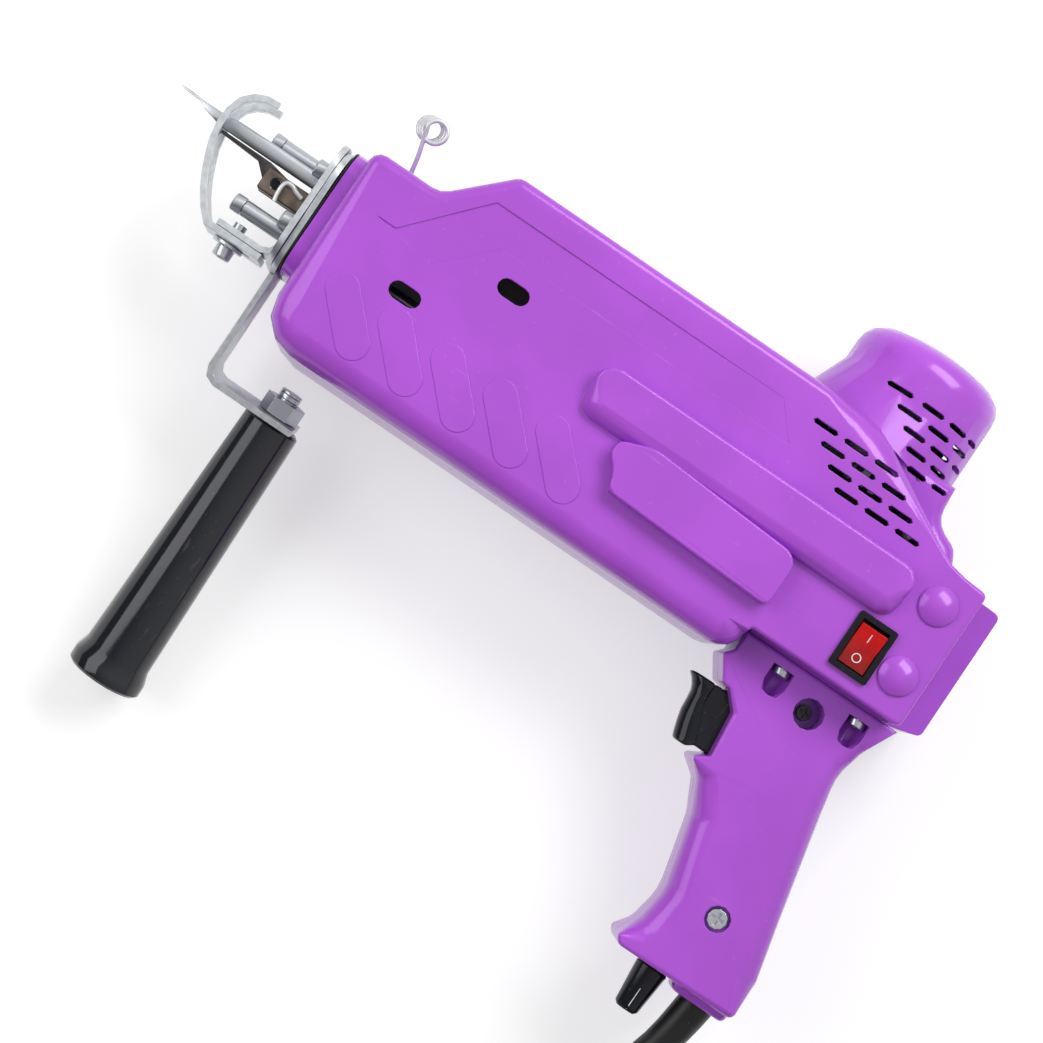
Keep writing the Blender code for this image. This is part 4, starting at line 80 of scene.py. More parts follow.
# Levels of the moulding, in metres. The tables below are in millimetres, but for shares.
SEAM_LEVEL = 41 * MM
FACE_LEVEL = 76 * MM
RAIL_LEVEL = 82 * MM
SHELL_FOOT = -44.45 * MM

# Outlines of the skins, as x and y on the face; a dome's profile is reach and rise.
LOW_RAIL = (
    (-77.5, -18.1), (-65.8, -13.7), (-9.7, -16.7), (-6.2, -19.8), (-6.2, -34.9),
    (-8.2, -36.2), (-71.4, -34.0), (-73.1, -28.1), (-77.7, -23.0),
)
RAIL_CORNER, RAIL_EDGE = 2.8 * MM, 0.8 * MM
DOMES = ((42.0, -3.5), (43.8, -30.4))
DOME_PROFILE = (
    (6.95, 0.0), (6.95, 0.6), (6.8, 0.88), (6.4, 1.1), (5.5, 1.6),
    (4.5, 2.06), (3.4, 2.44), (2.2, 2.73), (1.0, 2.88), (0.1, 2.92),
)
DOME_STEPS = 40
OVAL_START = (-175.7, -34.5)
OVAL_SIZE = (30.0, 11.6)
OVAL_PITCH = 21.2
OVAL_COUNT = 5
OVAL_LEAN = math.radians(-46)
OVAL_STEPS = 48

# Slope that ends the recessed band: x at its lower and upper edge, and level under the face.
BAND_EDGES = (12.7, 26.2)
BAND_FADE = ((-98.0, -98.0, -0.42), (-70.0, -70.0, -0.3), (-44.0, -52.0, -0.03), (-27.0, -36.0, -0.01))
BAND_BED = -1.0

# Rib over the grip: its outline as x and z, and how far its ends are drawn in and set back.
RIB_OUTLINE = ((-5.5, 24), (50, 24), (52.5, 27), (52.5, 55), (50, 58.5), (-3.5, 58.5), (-6, 56), (-6, 26))
RIB_INSET, RIB_SETBACK = 0.3, 0.1 * MM

# Needle, from its point: share of the length, lowest and highest edge as shares of the radius, width.
NEEDLE_STEPS = (
    (0.0, 0.50, 0.62, 0.12), (0.02, 0.38, 0.66, 0.26), (0.07, 0.30, 0.64, 0.40), (0.115, 0.26, 0.52, 0.54),
    (0.135, 0.02, 0.46, 0.64), (0.15, -0.20, 0.46, 0.74), (0.18, -0.42, 0.46, 0.84),
    (0.21, -0.62, 0.48, 0.92), (0.24, -0.84, 0.50, 0.97), (0.265, -0.985, 0.54, 1),
    (0.30, -0.99, 0.66, 1), (0.34, -0.99, 0.80, 1), (0.50, -0.99, 0.90, 1), (1.0, -0.99, 0.98, 1),
)
NEEDLE_BORE = 0.5
NEEDLE_FLOOR = 0.25
NEEDLE_FLATNESS = 0.35
NEEDLE_SIDES = 12
NEARLY_ONE = 0.99

# Trigger: level, front and rear edge, and share of the width, from the hook down; its web as x and y.
TRIGGER_BAR = (
    (-65.85, -10.2, -2.9, 0.90), (-66.1, -11.3, -2.6, 0.96), (-66.7, -11.9, -2.4, 1),
    (-68.1, -10.3, -2.4, 1), (-70.0, -8.9, -2.5, 1), (-72.0, -8.0, -2.3, 1),
    (-75.0, -7.6, -1.7, 1), (-79.0, -7.3, 0.1, 1), (-83.0, -6.3, 1.6, 1), (-86.5, -5.2, 2.9, 1),
    (-87.6, -4.8, 2.7, 1), (-88.5, -4.4, 1.5, 1), (-89.0, -3.9, 0.7, 0.95), (-89.2, -3.2, 0.0, 0.85),
)
TRIGGER_WEB = (
    (-2.6, -65.85), (10.8, -65.8), (10.8, -87.3), (3.0, -87.3), (1.8, -88.3), (0.2, -88.3), (-2.2, -78.0),
)
TRIGGER_FLATNESS = 0.8
TRIGGER_SIDES = 16
TRIGGER_STEP, WEB_CORNER, WEB_EDGE = 0.45 * MM, 1.2 * MM, 0.6 * MM

# The collar's steps are level and inset, the boot's x, level and radius.
COLLAR_MIDDLE = 53.3 * MM
COLLAR_HALF = (11.2 * MM, 11.5 * MM)
COLLAR_FLATNESS = 0.4
COLLAR_STEPS = ((-156.8, 0.6), (-157.0, 0.0), (-158.8, 0.1), (-159.7, 0.5), (-160.2, 1.1), (-160.4, 1.9))
BOOT_STEPS = (
    (53.9, -157.0, 6.4), (53.9, -161.0, 6.7), (53.3, -166.0, 6.6), (52.4, -172.0, 6.4), (51.1, -178.0, 6.2),
    (49.5, -182.5, 5.9), (48.3, -185.4, 5.4), (47.8, -186.6, 4.6), (47.5, -187.0, 3.7),
)
ROUND_STEPS = 32

# Yarn guide: ends of the eye from the node's box, bends of the foot from its end, of the leg from its stand.
GUIDE_WIRE = 0.9 * MM
GUIDE_EYE = 4.15 * MM
GUIDE_NEAR, GUIDE_FAR = (7.4 * MM, -5.7 * MM), (3.8 * MM, -4.9 * MM)
GUIDE_FOOT = ((0, 7.8), (-6.1, 1.6), (-9, 0))
GUIDE_LEG = ((3, 0), (0, 2.5))
GUIDE_CROSSING = (-1.6 * MM, 10 * MM)
GUIDE_SETBACK = 0.4 * MM
GUIDE_START = math.radians(168)
GUIDE_TURNS = 3.2
GUIDE_STEPS = 6

# Hook on the cutter holder, as x and y.
HOOK_WIRE = 0.85 * MM
HOOK_ROUTE = (
    (-220.4, -14.2), (-221.0, -11.6), (-221.1, -8.2), (-220.1, -6.5),
    (-218.0, -6.4), (-215.6, -7.5), (-213.0, -8.2),
)

WELD_REACH = 0.004 * MM
FACET_ANGLE = math.radians(40)
FACE_WEIGHT = 60
PRINT_REACH = 0.05
# Steps along the on mark and along the painted highlight on the knob, and where that highlight starts.
BAR_STEPS, PAINTED_HIGHLIGHT_STEPS = 4, 6
PAINTED_HIGHLIGHT_START = 0.6 * MM
CORNER_STEPS = 4
NEAR_HALF = 0.48

# Camera solved from the photograph, and the lamps: size, place, and the point they look at.
CAMERA_RIGHT = (0.82659, 0.56141, 0.03954)
CAMERA_UP = (-0.56254, 0.82631, 0.02757)
CAMERA_PLACE = (-0.10737, -0.10590, 1.12704)
KEY_LAMP = ((0.9, 0.5), (0.25, 0.75, 0.95), (-0.03, -0.05, 0.03))
FILL_LAMP = ((0.7, 0.7), (-0.85, -0.1, 0.75), (-0.05, -0.05, 0.03))
WHITE = (1.0, 1.0, 1.0)
ROOM_STRENGTH = 0.95
ROOM_BRIGHT_SIDE = (0.35, 0.75, 0.3)
# Span of height on the rocker over which its colour turns from painted shade to painted light.
ROCKER_PAINTED_LIGHT = (-0.036, -0.022)


def colour_prop(name, description, default):
    """A colour that a user picks, written in linear light."""
    return FloatVectorProperty(
        name=name, description=description, default=default, subtype="COLOR", size=3, min=0, max=1
    )


def number_prop(name, description, default, least=0, **more):
    """A number with a lower limit."""
    return FloatProperty(name=name, description=description, default=default, min=least, **more)


def length_prop(name, description, default):
    """A length in metres."""
    return number_prop(name, description, default, subtype="DISTANCE", unit="LENGTH")


def share_prop(name, description, default):
    """A number from 0 to 1."""
    return number_prop(name, description, default, max=1, subtype="FACTOR")


class TuftingFinishSettings(bpy.types.PropertyGroup):
    """Colours and gloss of the machine's materials."""

    housing_colour: colour_prop("Housing", "Moulded body and grip", (0.415, 0.084, 0.640))
    housing_gloss: share_prop("Housing roughness", "Moulded body and grip", 0.2)
    scuff_share: share_prop("Scuffs", "How strongly handling marks show on the body", 0.2)
    black_colour: colour_prop("Black plastic", "Handle, trigger, knob, switch frame", (0.008, 0.009, 0.014))
    rocker_colour: colour_prop("Rocker", "Rocker of the power switch", (0.66, 0.008, 0.010))
    # White of the printed marks and of the painted highlight on the knob.
    print_and_highlight_colour: colour_prop("Print", "Marks on switch and knob", (0.86, 0.86, 0.84))
    zinc_colour: colour_prop("Zinc", "Zinc plated sheet metal", (0.60, 0.63, 0.655))
    steel_colour: colour_prop("Steel", "Ground and polished steel", (0.45, 0.47, 0.50))
    wire_colour: colour_prop("Bright wire", "Yarn guide and hook", (0.66, 0.67, 0.68))
    dark_colour: colour_prop("Dark steel", "Blackened screws, blades and gear", (0.055, 0.053, 0.052))
    holder_colour: colour_prop("Holder", "Heat treated cutter holder", (0.135, 0.105, 0.085))
    brass_colour: colour_prop("Brass", "Front and rear bush", (0.72, 0.50, 0.20))
    cast_colour: colour_prop("Casting", "Frame and slider", (0.52, 0.53, 0.54))
    rubber_colour: colour_prop("Rubber", "Lead, boot, plug and gasket", (0.007, 0.007, 0.008))
    board_colour: colour_prop("Board", "Lacquer of the speed board", (0.010, 0.110, 0.035))
    skin: length_prop("Skin", "How far the smooth skins stand off the moulding", 0.15 * MM)


class TuftingLeadSettings(bpy.types.PropertyGroup):
    """Sizes of the mains lead."""

    radius: length_prop("Radius", "Half of the lead's thickness", 3.5 * MM)
    length: length_prop("Length", "Whole length of the lead", 1.805)
    turns: IntProperty(name="Turns", description="Turns in each layer of the coil", default=3, min=1, max=8)
    outer: length_prop("Coil radius", "Radius of the outermost turn", 54.5 * MM)
    pitch: length_prop("Pitch", "Distance from turn to turn", 7.6 * MM)
    tail: length_prop("Tail", "Straight end before the plug", 46 * MM)
    tie_width: length_prop("Tie width", "Width of the strap that holds the coil", 12 * MM)


class TuftingMarkSettings(bpy.types.PropertyGroup):
    """Sizes of the printed marks, and of the painted highlight on the speed knob."""

    bar_length: length_prop("On mark", "Length of the stroke on the rocker", 3.0 * MM)
    ring_radius: length_prop("Off mark", "Radius of the ring on the rocker", 1.5 * MM)
    stroke: length_prop("Stroke", "Width of the printed lines", 0.3 * MM)
    lift: length_prop("Lift", "How far the print stands off its surface", 0.05 * MM)
    # Length of the white line on the speed knob, a painted highlight laid on like a print.
    painted_highlight_length: length_prop("Pointer", "Length of the line on the speed knob", 8.5 * MM)


class TuftingStudioSettings(bpy.types.PropertyGroup):
    """Lights and camera."""

    key_power: number_prop("Key light", "Power of the large lamp", 10.8, unit="POWER")
    fill_power: number_prop("Fill light", "Power of the side lamp", 4.2, unit="POWER")
    sky_strength: number_prop("Sky", "Strength of the even light from all round", 0.36)
    floor_glow: number_prop("Floor glow", "Paleness that the camera sees on the floor", 0.50)
    focal_length: number_prop("Focal length", "Focal length of the camera in millimetres", 109.03, 1)


class Wire:
    """A shader socket that adds a Math node for each sum, difference or product."""

    def __init__(self, finish, socket):
        self.finish = finish
        self.socket = socket

    def maths(self, operation, *values):
        return self.finish.node("ShaderNodeMath", {"operation": operation}, dict(enumerate(values)))

    def __add__(self, other):
        return self.maths("ADD", self, other)

    __radd__ = __add__

    def __mul__(self, other):
        return self.maths("MULTIPLY", self, other)

    def __sub__(self, other):
        return self.maths("SUBTRACT", self, other)

    def __rsub__(self, other):
        return self.maths("SUBTRACT", other, self)

    def larger(self, other):
        """Larger of two values."""
        return self.maths("MAXIMUM", self, other)

    def between(self, low, high):
        """Smooth step from 0 at low to 1 at high."""
        settings = {"interpolation_type": "SMOOTHSTEP"}
        return self.finish.node("ShaderNodeMapRange", settings, {0: self, 1: low, 2: high})


class Finish:
    """One material: its node tree, and short ways to the textures that the finishes share."""

    def __init__(self, name, tint=(0, 0, 0), edge=None, kind=bpy.data.materials):
        self.material = kind.new(name)
        self.material.use_nodes = True
        self.tree = self.material.node_tree
        self.tree.nodes.clear()
        self.colour = Vector(tint)
        self.place = self.node("ShaderNodeTexCoord", {}, {}, "Object")
        self.rounded = edge and self.node("ShaderNodeBevel", {"samples": 4}, {"Radius": edge})

    def node(self, kind, settings, sockets, out=0):
        """Adds a node. Settings come first, then values or links of its sockets by name or number."""
        made = self.tree.nodes.new(kind)
        for name, value in settings.items():
            setattr(made, name, value)
        for key, value in sockets.items():
            if isinstance(value, Wire):
                self.tree.links.new(value.socket, made.inputs[key])
            elif isinstance(value, (tuple, Vector)) and len(value) == 3 and made.inputs[key].type == "RGBA":
                made.inputs[key].default_value = (*value, 1)
            else:
                made.inputs[key].default_value = value
        return Wire(self, made.outputs[out]) if made.outputs else made

    def noise(self, scale, detail, roughness=0.5, stretch=None):
        """Soft random value from 0 to 1, in waves per metre, that may be drawn out along the axes."""
        space = self.place
        if stretch:
            space = self.node("ShaderNodeVectorMath", {"operation": "MULTIPLY"}, {0: space, 1: stretch})
        sockets = {"Vector": space, "Scale": scale, "Detail": detail, "Roughness": roughness}
        return self.node("ShaderNodeTexNoise", {}, sockets)

    def cells(self, scale, feature="F1"):
        """Distance in a pattern of cells."""
        sockets = {"Vector": self.place, "Scale": scale}
        return self.node("ShaderNodeTexVoronoi", {"feature": feature}, sockets, "Distance")

    def mix(self, factor, one, two):
        """Colour between two others."""
        return self.node("ShaderNodeMix", {"data_type": "RGBA"}, {0: factor, 6: one, 7: two}, 2)

    def shades(self, factor, one, two):
        """Colour between two shades of the finish's own colour."""
        return self.mix(factor, self.colour * one, self.colour * two)

    def along(self, one, two):
        """How much of one vector lies along another."""
        return self.node("ShaderNodeVectorMath", {"operation": "DOT_PRODUCT"}, {0: one, 1: two}, "Value")

    def edge(self):
        """1 on hard edges and 0 on faces."""
        plain = self.node("ShaderNodeNewGeometry", {}, {}, "Normal")
        return (1 - self.along(self.rounded, plain)).between(0.01, 0.16)

    def bump(self, height, distance, strength):
        """Normal from a height, laid over the rounded edges if the finish has them."""
        sockets = {"Height": height, "Distance": distance, "Strength": strength}
        if self.rounded:
            sockets["Normal"] = self.rounded
        return self.node("ShaderNodeBump", {}, sockets)

    def surface(self, **sockets):
        """Ends the tree in a Principled shader and returns the material."""
        named = {key.replace("_", " "): value for key, value in sockets.items()}
        shader = self.node("ShaderNodeBsdfPrincipled", {}, named)
        self.node("ShaderNodeOutputMaterial", {}, {"Surface": shader})
        return self.material


def moulded_housing(settings):
    """Gloss moulded plastic: faint flow clouds, fine grain, and pale handling scuffs on the edges."""
    made = Finish("moulded_housing", settings.housing_colour, 0.5 * MM)
    clouds = made.noise(22, 3)
    grain = made.noise(1500, 1)
    streak = made.noise(120, 3, 0.6, (0.35, 3.2, 1.0))
    patch = made.noise(17, 2).between(0.55, 0.68)
    scratch = streak.between(0.66, 0.7) * patch
    worn = made.edge() * made.noise(70, 3).between(0.5, 0.66)
    scuff = (scratch * 0.5).larger(worn) * settings.scuff_share
    tone = made.shades(clouds.between(0.3, 0.7), 0.92, 1.06)
    pale = tuple(min(1.0, 0.55 + 0.45 * value) for value in made.colour)
    dust = made.noise(420, 2).between(0.69, 0.74) * 0.05
    return made.surface(
        Base_Color=made.mix(scuff.larger(dust), tone, pale),
        Roughness=settings.housing_gloss + clouds * 0.06 + scuff * 0.3 + grain * 0.03,
        Normal=made.bump(made.noise(190, 2) * 0.7 + grain * 0.3, 0.025 * MM, 0.5),
        Coat_Weight=0.28,
        Coat_Roughness=0.06,
        Specular_IOR_Level=0.5,
        Specular_Tint=(0.80, 0.52, 0.95),
    )


def black_gloss(settings, name="black_gloss", shine=0.42):
    """Polished black plastic with dust and hair lines."""
    made = Finish(name, settings.black_colour, 0.4 * MM)
    smear = made.noise(35, 4, 0.6).between(0.42, 0.7)
    lines = made.noise(160, 3, 0.6, (2.6, 0.3, 2.6)).between(0.64, 0.7)
    dust = made.noise(900, 1).between(0.72, 0.76)
    return made.surface(
        Base_Color=made.mix((lines * 0.12).larger(dust * 0.16), made.colour, (0.22, 0.22, 0.23)),
        Roughness=0.10 + smear * 0.08 + lines * 0.1,
        Normal=made.bump(made.noise(260, 2), 0.02 * MM, 0.4),
        Specular_IOR_Level=shine,
        Coat_Weight=shine / 3,
        Coat_Roughness=0.05,
    )


def rocker_red(settings):
    """Clear red switch plastic, with painted shade toward its lower end and painted light toward its upper
    end.
    """
    made = Finish("rocker_red", settings.rocker_colour, 0.4 * MM)
    depth = made.noise(260, 2).between(0.35, 0.7)
    height = made.node("ShaderNodeSeparateXYZ", {}, {0: made.place}, "Y")
    # Painted light and shade: dark at the rocker's lower end, bright at its upper end.
    lit = height.between(*ROCKER_PAINTED_LIGHT)
    return made.surface(
        Base_Color=made.shades(lit * 0.85 + depth * 0.15, 0.42, 1.15),
        Roughness=0.16 + made.noise(400, 2) * 0.08,
        Normal=made.bump(made.noise(700, 1), 0.01 * MM, 0.4),
        Specular_IOR_Level=0.25,
        Coat_Weight=0.12,
        Coat_Roughness=0.06,
        Transmission_Weight=0.12,
    )


def white_print_and_highlight(settings):
    """Opaque white with a slightly broken edge, for the printed marks and the painted highlight on the knob.
    """
    made = Finish("white_print_and_highlight", settings.print_and_highlight_colour)
    specks = made.noise(2600, 2).between(0.25, 0.4)
    return made.surface(
        Base_Color=made.shades(specks, 0.8, 1),
        Roughness=0.42 + specks * 0.1,
        Normal=made.bump(specks, 0.01 * MM, 0.3),
    )


def zinc_sheet(settings):
    """Bright zinc plate on pressed steel: spangled tone, rolled streaks, darker fingerprints."""
    made = Finish("zinc_sheet", settings.zinc_colour, 0.35 * MM)
    spangle = made.cells(420)
    rolled = made.noise(130, 4, 0.7, (6.0, 0.6, 0.6))
    smudge = made.noise(48, 4, 0.6).between(0.48, 0.72)
    worn = made.edge()
    tone = made.shades(spangle * 0.6 + rolled * 0.4, 0.66, 1.14)
    tone = made.mix(smudge * 0.45, tone, made.colour * 0.6)
    return made.surface(
        Base_Color=made.mix(worn * 0.5, tone, made.colour * 1.25),
        Metallic=0.95 - smudge * 0.15,
        Roughness=0.30 + smudge * 0.14 + rolled * 0.12 - worn * 0.08,
        Normal=made.bump(rolled * 0.6 + spangle * 0.4, 0.03 * MM, 0.35),
    )


def ground_steel(settings, name="ground_steel", tint=None, metal=0.9):
    """Ground and polished bar: fine rings along X, thin oil film."""
    made = Finish(name, tint or settings.steel_colour, 0.25 * MM)
    rings = made.noise(900, 2, 0.5, (3.0, 0.3, 0.3))
    film = made.noise(60, 3, 0.6).between(0.45, 0.75)
    return made.surface(
        Base_Color=made.mix(rings * 0.12, made.shades(film * 0.4, 1, 0.7), made.colour * 1.2),
        Metallic=metal,
        Roughness=0.27 + rings * 0.05 + film * 0.06,
        Normal=made.bump(rings, 0.001 * MM, 0.2),
    )


def dark_steel(settings, name="blackened_steel", tint=None):
    """Oiled dark steel of screws, gear and blades, worn bright on its edges."""
    made = Finish(name, tint or settings.dark_colour, 0.25 * MM)
    patina = made.noise(220, 4, 0.65)
    grain = made.noise(1400, 2)
    worn = made.edge() * made.noise(150, 2).between(0.35, 0.6)
    tone = made.shades(patina.between(0.35, 0.7), 0.75, 1.3)
    return made.surface(
        Base_Color=made.mix(worn * 0.7, tone, (0.62, 0.61, 0.60)),
        Metallic=0.9,
        Roughness=0.30 + patina * 0.18 - worn * 0.1,
        Normal=made.bump(grain, 0.015 * MM, 0.4),
    )


def bush_brass(settings):
    """Turned brass with a darker film."""
    made = Finish("bush_brass", settings.brass_colour, 0.3 * MM)
    lathe = made.noise(800, 3, 0.6, (4.0, 0.3, 0.3))
    film = made.noise(90, 3).between(0.4, 0.7)
    return made.surface(
        Base_Color=made.shades(film, 1, 0.6),
        Metallic=1.0,
        Roughness=0.22 + lathe * 0.2,
        Normal=made.bump(lathe, 0.012 * MM, 0.5),
    )


def sand_casting(settings):
    """Die cast alloy: pebbled skin with machined bright edges."""
    made = Finish("sand_casting", settings.cast_colour, 0.4 * MM)
    tone = made.noise(70, 4, 0.6)
    worn = made.edge()
    return made.surface(
        Base_Color=made.mix(worn * 0.5, made.shades(tone, 0.75, 1.1), made.colour * 1.3),
        Metallic=0.85,
        Roughness=0.46 + tone * 0.14 - worn * 0.12,
        Normal=made.bump(made.cells(900), 0.05 * MM, 0.5),
    )


def lead_rubber(settings):
    """Soft black sheath with a bloom and a fine pebble."""
    made = Finish("lead_rubber", settings.rubber_colour, 0.3 * MM)
    bloom = made.noise(40, 4, 0.6).between(0.4, 0.75)
    pebble = made.noise(1300, 2)
    lint = made.noise(700, 1).between(0.73, 0.77)
    return made.surface(
        Base_Color=made.mix(lint * 0.2, made.shades(bloom * 0.5, 1, 1.8), (0.3, 0.3, 0.3)),
        Roughness=0.34 + bloom * 0.12 + pebble * 0.05,
        Normal=made.bump(pebble, 0.02 * MM, 0.3),
        Specular_IOR_Level=0.3,
    )


def board_lacquer(settings):
    """Green board lacquer over paler copper runs, with flux stains."""
    made = Finish("board_lacquer", settings.board_colour)
    runs = made.cells(520, "DISTANCE_TO_EDGE").between(0.05, 0.09)
    stain = made.noise(150, 3).between(0.5, 0.75)
    return made.surface(
        Base_Color=made.mix(stain * 0.3, made.shades(runs, 2, 1), (0.12, 0.10, 0.04)),
        Roughness=0.25 + stain * 0.2,
        Normal=made.bump(1 - runs, 0.04 * MM, 0.5),
        Coat_Weight=0.2,
    )


def strap_weave(settings):
    """Hook and loop tape: fuzzy woven surface."""
    made = Finish("strap_weave", settings.rubber_colour)
    fuzz = made.noise(2400, 3, 0.7)
    rows = made.noise(900, 1, 0.5, (1.0, 3.0, 1.0))
    return made.surface(
        Base_Color=made.shades(fuzz, 1.4, 4.5),
        Roughness=0.85,
        Normal=made.bump(fuzz * 0.6 + rows * 0.4, 0.15 * MM, 0.8),
        Sheen_Weight=0.3,
    )


def wire(name, points, radius, material):
    """Round wire or lead along a route, fixed to the machine."""
    curve = bpy.data.curves.new(name, "CURVE")
    curve.dimensions = "3D"
    curve.bevel_depth = radius
    curve.bevel_resolution = 4
    curve.use_fill_caps = True
    spline = curve.splines.new("POLY")
    spline.points.add(len(points) - 1)
    for point, place in zip(spline.points, points):
        point.co = (*place, 1)
    spline.use_smooth = True
    curve.materials.append(material)
    return placed(name, curve, "machine")


def added(name, data):
    """New object in the scene."""
    item = bpy.data.objects.new(name, data)
    bpy.context.scene.collection.objects.link(item)
    return item


def placed(name, data, body):
    """New object that rides on a body."""
    item = added(name, data)
    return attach(item, body)


def joined(form, rings, closed=False):
    """Faces through rings of equally many points; the two ends are capped, or joined to each other."""
    made = [[form.verts.new(point) for point in ring] for ring in rings]
    for one, two in zip(made, made[1:] + (made[:1] if closed else [])):
        for index in range(len(one)):
            after = (index + 1) % len(one)
            form.faces.new((one[index], one[after], two[after], two[index]))
    if not closed:
        form.faces.new(made[0])
        form.faces.new(made[-1])


def lofted(name, stacks, material, sharp=35, body="machine"):
    """Closed forms, each through a stack of rings, smooth up to an edge angle."""
    form = bmesh.new()
    for rings in stacks:
        joined(form, rings)
    for face in form.faces:
        face.smooth = True
    piece = new_piece(name, form, material, body)
    piece.data.set_sharp_from_angle(angle=math.radians(sharp))
    even = piece.modifiers.new("even_faces", "WEIGHTED_NORMAL")
    even.keep_sharp = True
    return piece


def both_faces(name, stacks, material, sharp=35):
    """Skins on the left face of the machine, and the same again on the right one."""
    pairs = [half for rings in stacks for half in (rings, mirrored(rings))]
    lofted(name, pairs, material, sharp)


def mirrored(rings):
    """The same rings on the other face of the machine."""
    return [[Vector((point.x, point.y, 2 * SEAM_LEVEL - point.z)) for point in ring] for ring in rings]


def in_metres(points):
    """Points of a table in millimetres."""
    return [Vector(point) * MM for point in points]


def directions(count, first=0.0):
    """Unit vectors at even angles, once round."""
    turns = [first + 2 * math.pi * step / count for step in range(count)]
    return [Vector((math.cos(turn), math.sin(turn))) for turn in turns]


def flattened(share, power):
    """Sine or cosine drawn toward 1, which turns a round outline squarer."""
    return math.copysign(abs(share) ** power, share)


def neighbours(outline):
    """Each point of a closed outline, with the one before and the one after."""
    return zip([outline[-1], *outline[:-1]], outline, [*outline[1:], outline[0]])


def softened(outline, reach):
    """Outline with each corner cut back by a distance and rounded."""
    rounded = []
    for before, here, after in neighbours(outline):
        sides = [other - here for other in (before, after)]
        start, end = (here + side.normalized() * min(reach, side.length * NEAR_HALF) for side in sides)
        for step in range(CORNER_STEPS + 1):
            share = step / CORNER_STEPS
            rounded.append(start.lerp(here, share).lerp(here.lerp(end, share), share))
    return rounded


def shrunk(outline, inset):
    """Outline moved inward by a distance."""
    area = sum(a.x * b.y - b.x * a.y for a, b in zip(outline, [*outline[1:], outline[0]]))
    turn = 1 if area > 0 else -1
    moved = []
    for before, here, after in neighbours(outline):
        along = (after - before).normalized()
        moved.append(here + Vector((-along.y, along.x)) * inset * turn)
    return moved


def pillow(outline, low, high, edge):
    """Rings of a plate from one level to another, its rim rounded at the high end."""
    rings = [[Vector((*point, low)) for point in outline]]
    for step in range(CORNER_STEPS + 1):
        turn = math.pi / 2 * step / CORNER_STEPS
        inset, level = edge * (1 - math.cos(turn)), high - edge * (1 - math.sin(turn))
        rings.append([Vector((*point, level)) for point in shrunk(outline, inset)])
    return rings


def low_rail_skin(finish, skin):
    """Lower rail with round corners."""
    outline = shrunk(softened(in_metres(LOW_RAIL), RAIL_CORNER), -skin)
    both_faces("low_rail_skin", [pillow(outline, FACE_LEVEL, RAIL_LEVEL + skin, RAIL_EDGE)], finish)


def dome_skins(finish):
    """Round screw domes."""
    stacks = []
    for middle in in_metres(DOMES):
        rings = []
        for reach, rise in in_metres(DOME_PROFILE):
            places = [middle + out * reach for out in directions(DOME_STEPS)]
            rings.append([Vector((*place, FACE_LEVEL + rise)) for place in places])
        stacks.append(rings)
    both_faces("dome_skins", stacks, finish, sharp=50)


def oval_pads(finish, skin):
    """Row of low ovals along the body."""
    half, run = OVAL_SIZE[1] / 2 * MM + skin, (OVAL_SIZE[0] - OVAL_SIZE[1]) / 2 * MM
    along = Vector((math.cos(OVAL_LEAN), math.sin(OVAL_LEAN)))
    rounds = directions(OVAL_STEPS, OVAL_LEAN + math.pi / OVAL_STEPS)
    oval = [out * half + along * math.copysign(run, out.dot(along)) for out in rounds]
    stacks = []
    for number in range(OVAL_COUNT):
        middle = Vector((OVAL_START[0] + number * OVAL_PITCH, OVAL_START[1])) * MM
        outline = [middle + point for point in oval]
        stacks.append(pillow(outline, FACE_LEVEL - 3 * skin, FACE_LEVEL + 2 * skin, 2 * skin))
    both_faces("oval_pads", stacks, finish, sharp=50)


def band_fade(finish):
    """Slope on which the recessed band runs out toward the rear."""
    rings = []
    for low_x, high_x, level in BAND_FADE:
        corners = [(low_x, BAND_EDGES[0]), (high_x, BAND_EDGES[1])]
        ring = [(x, y, BAND_BED) for x, y in corners] + [(x, y, level) for x, y in reversed(corners)]
        rings.append([point + Vector((0, 0, FACE_LEVEL)) for point in in_metres(ring)])
    both_faces("band_fade", [rings], finish)


def seam_rib(finish):
    """Rib between the body's underside and the top of the grip."""
    low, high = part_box("grip_left")[1].y, SHELL_FOOT
    steps = ((low, RIB_INSET), (low + RIB_SETBACK, 0), (high - RIB_SETBACK, 0), (high, RIB_INSET))
    rings = []
    for level, inset in steps:
        ring = shrunk([Vector(point) for point in RIB_OUTLINE], inset)
        rings.append([Vector((x * MM, level, z * MM)) for x, z in ring])
    lofted("seam_rib", [rings], finish)


def hollow_needle(finish):
    """Tufting needle: a tube cut aslant that runs out into a slender point."""
    low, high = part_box("needle")
    outer = (high.y - low.y) / 2
    inner = outer * NEEDLE_BORE
    shares = [step / NEEDLE_SIDES - 1 for step in range(2 * NEEDLE_SIDES + 1)]
    rings = []
    for reach, foot, top, slim in NEEDLE_STEPS:
        foot, top = foot * outer, top * outer
        spread, hollow = (
            math.acos(max(-NEARLY_ONE, min(NEARLY_ONE, foot / radius))) for radius in (outer, inner)
        )
        ring = []
        for share in shares:
            turn = spread * share
            side = flattened(math.sin(turn), NEEDLE_FLATNESS)
            ring.append((min(outer * math.cos(turn), top), outer * side))
        for share in shares:
            turn = -hollow * share
            y = max(foot, min(inner * math.cos(turn), top - NEEDLE_FLOOR * outer))
            ring.append((y, inner * math.sin(turn)))
        x = low.x + (high.x - low.x) * reach
        rings.append([Vector((x, y, SEAM_LEVEL + z * slim)) for y, z in ring])
    piece = lofted("needle_tube", [rings], finish, body="needle_carriage")
    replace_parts(piece, "needle")


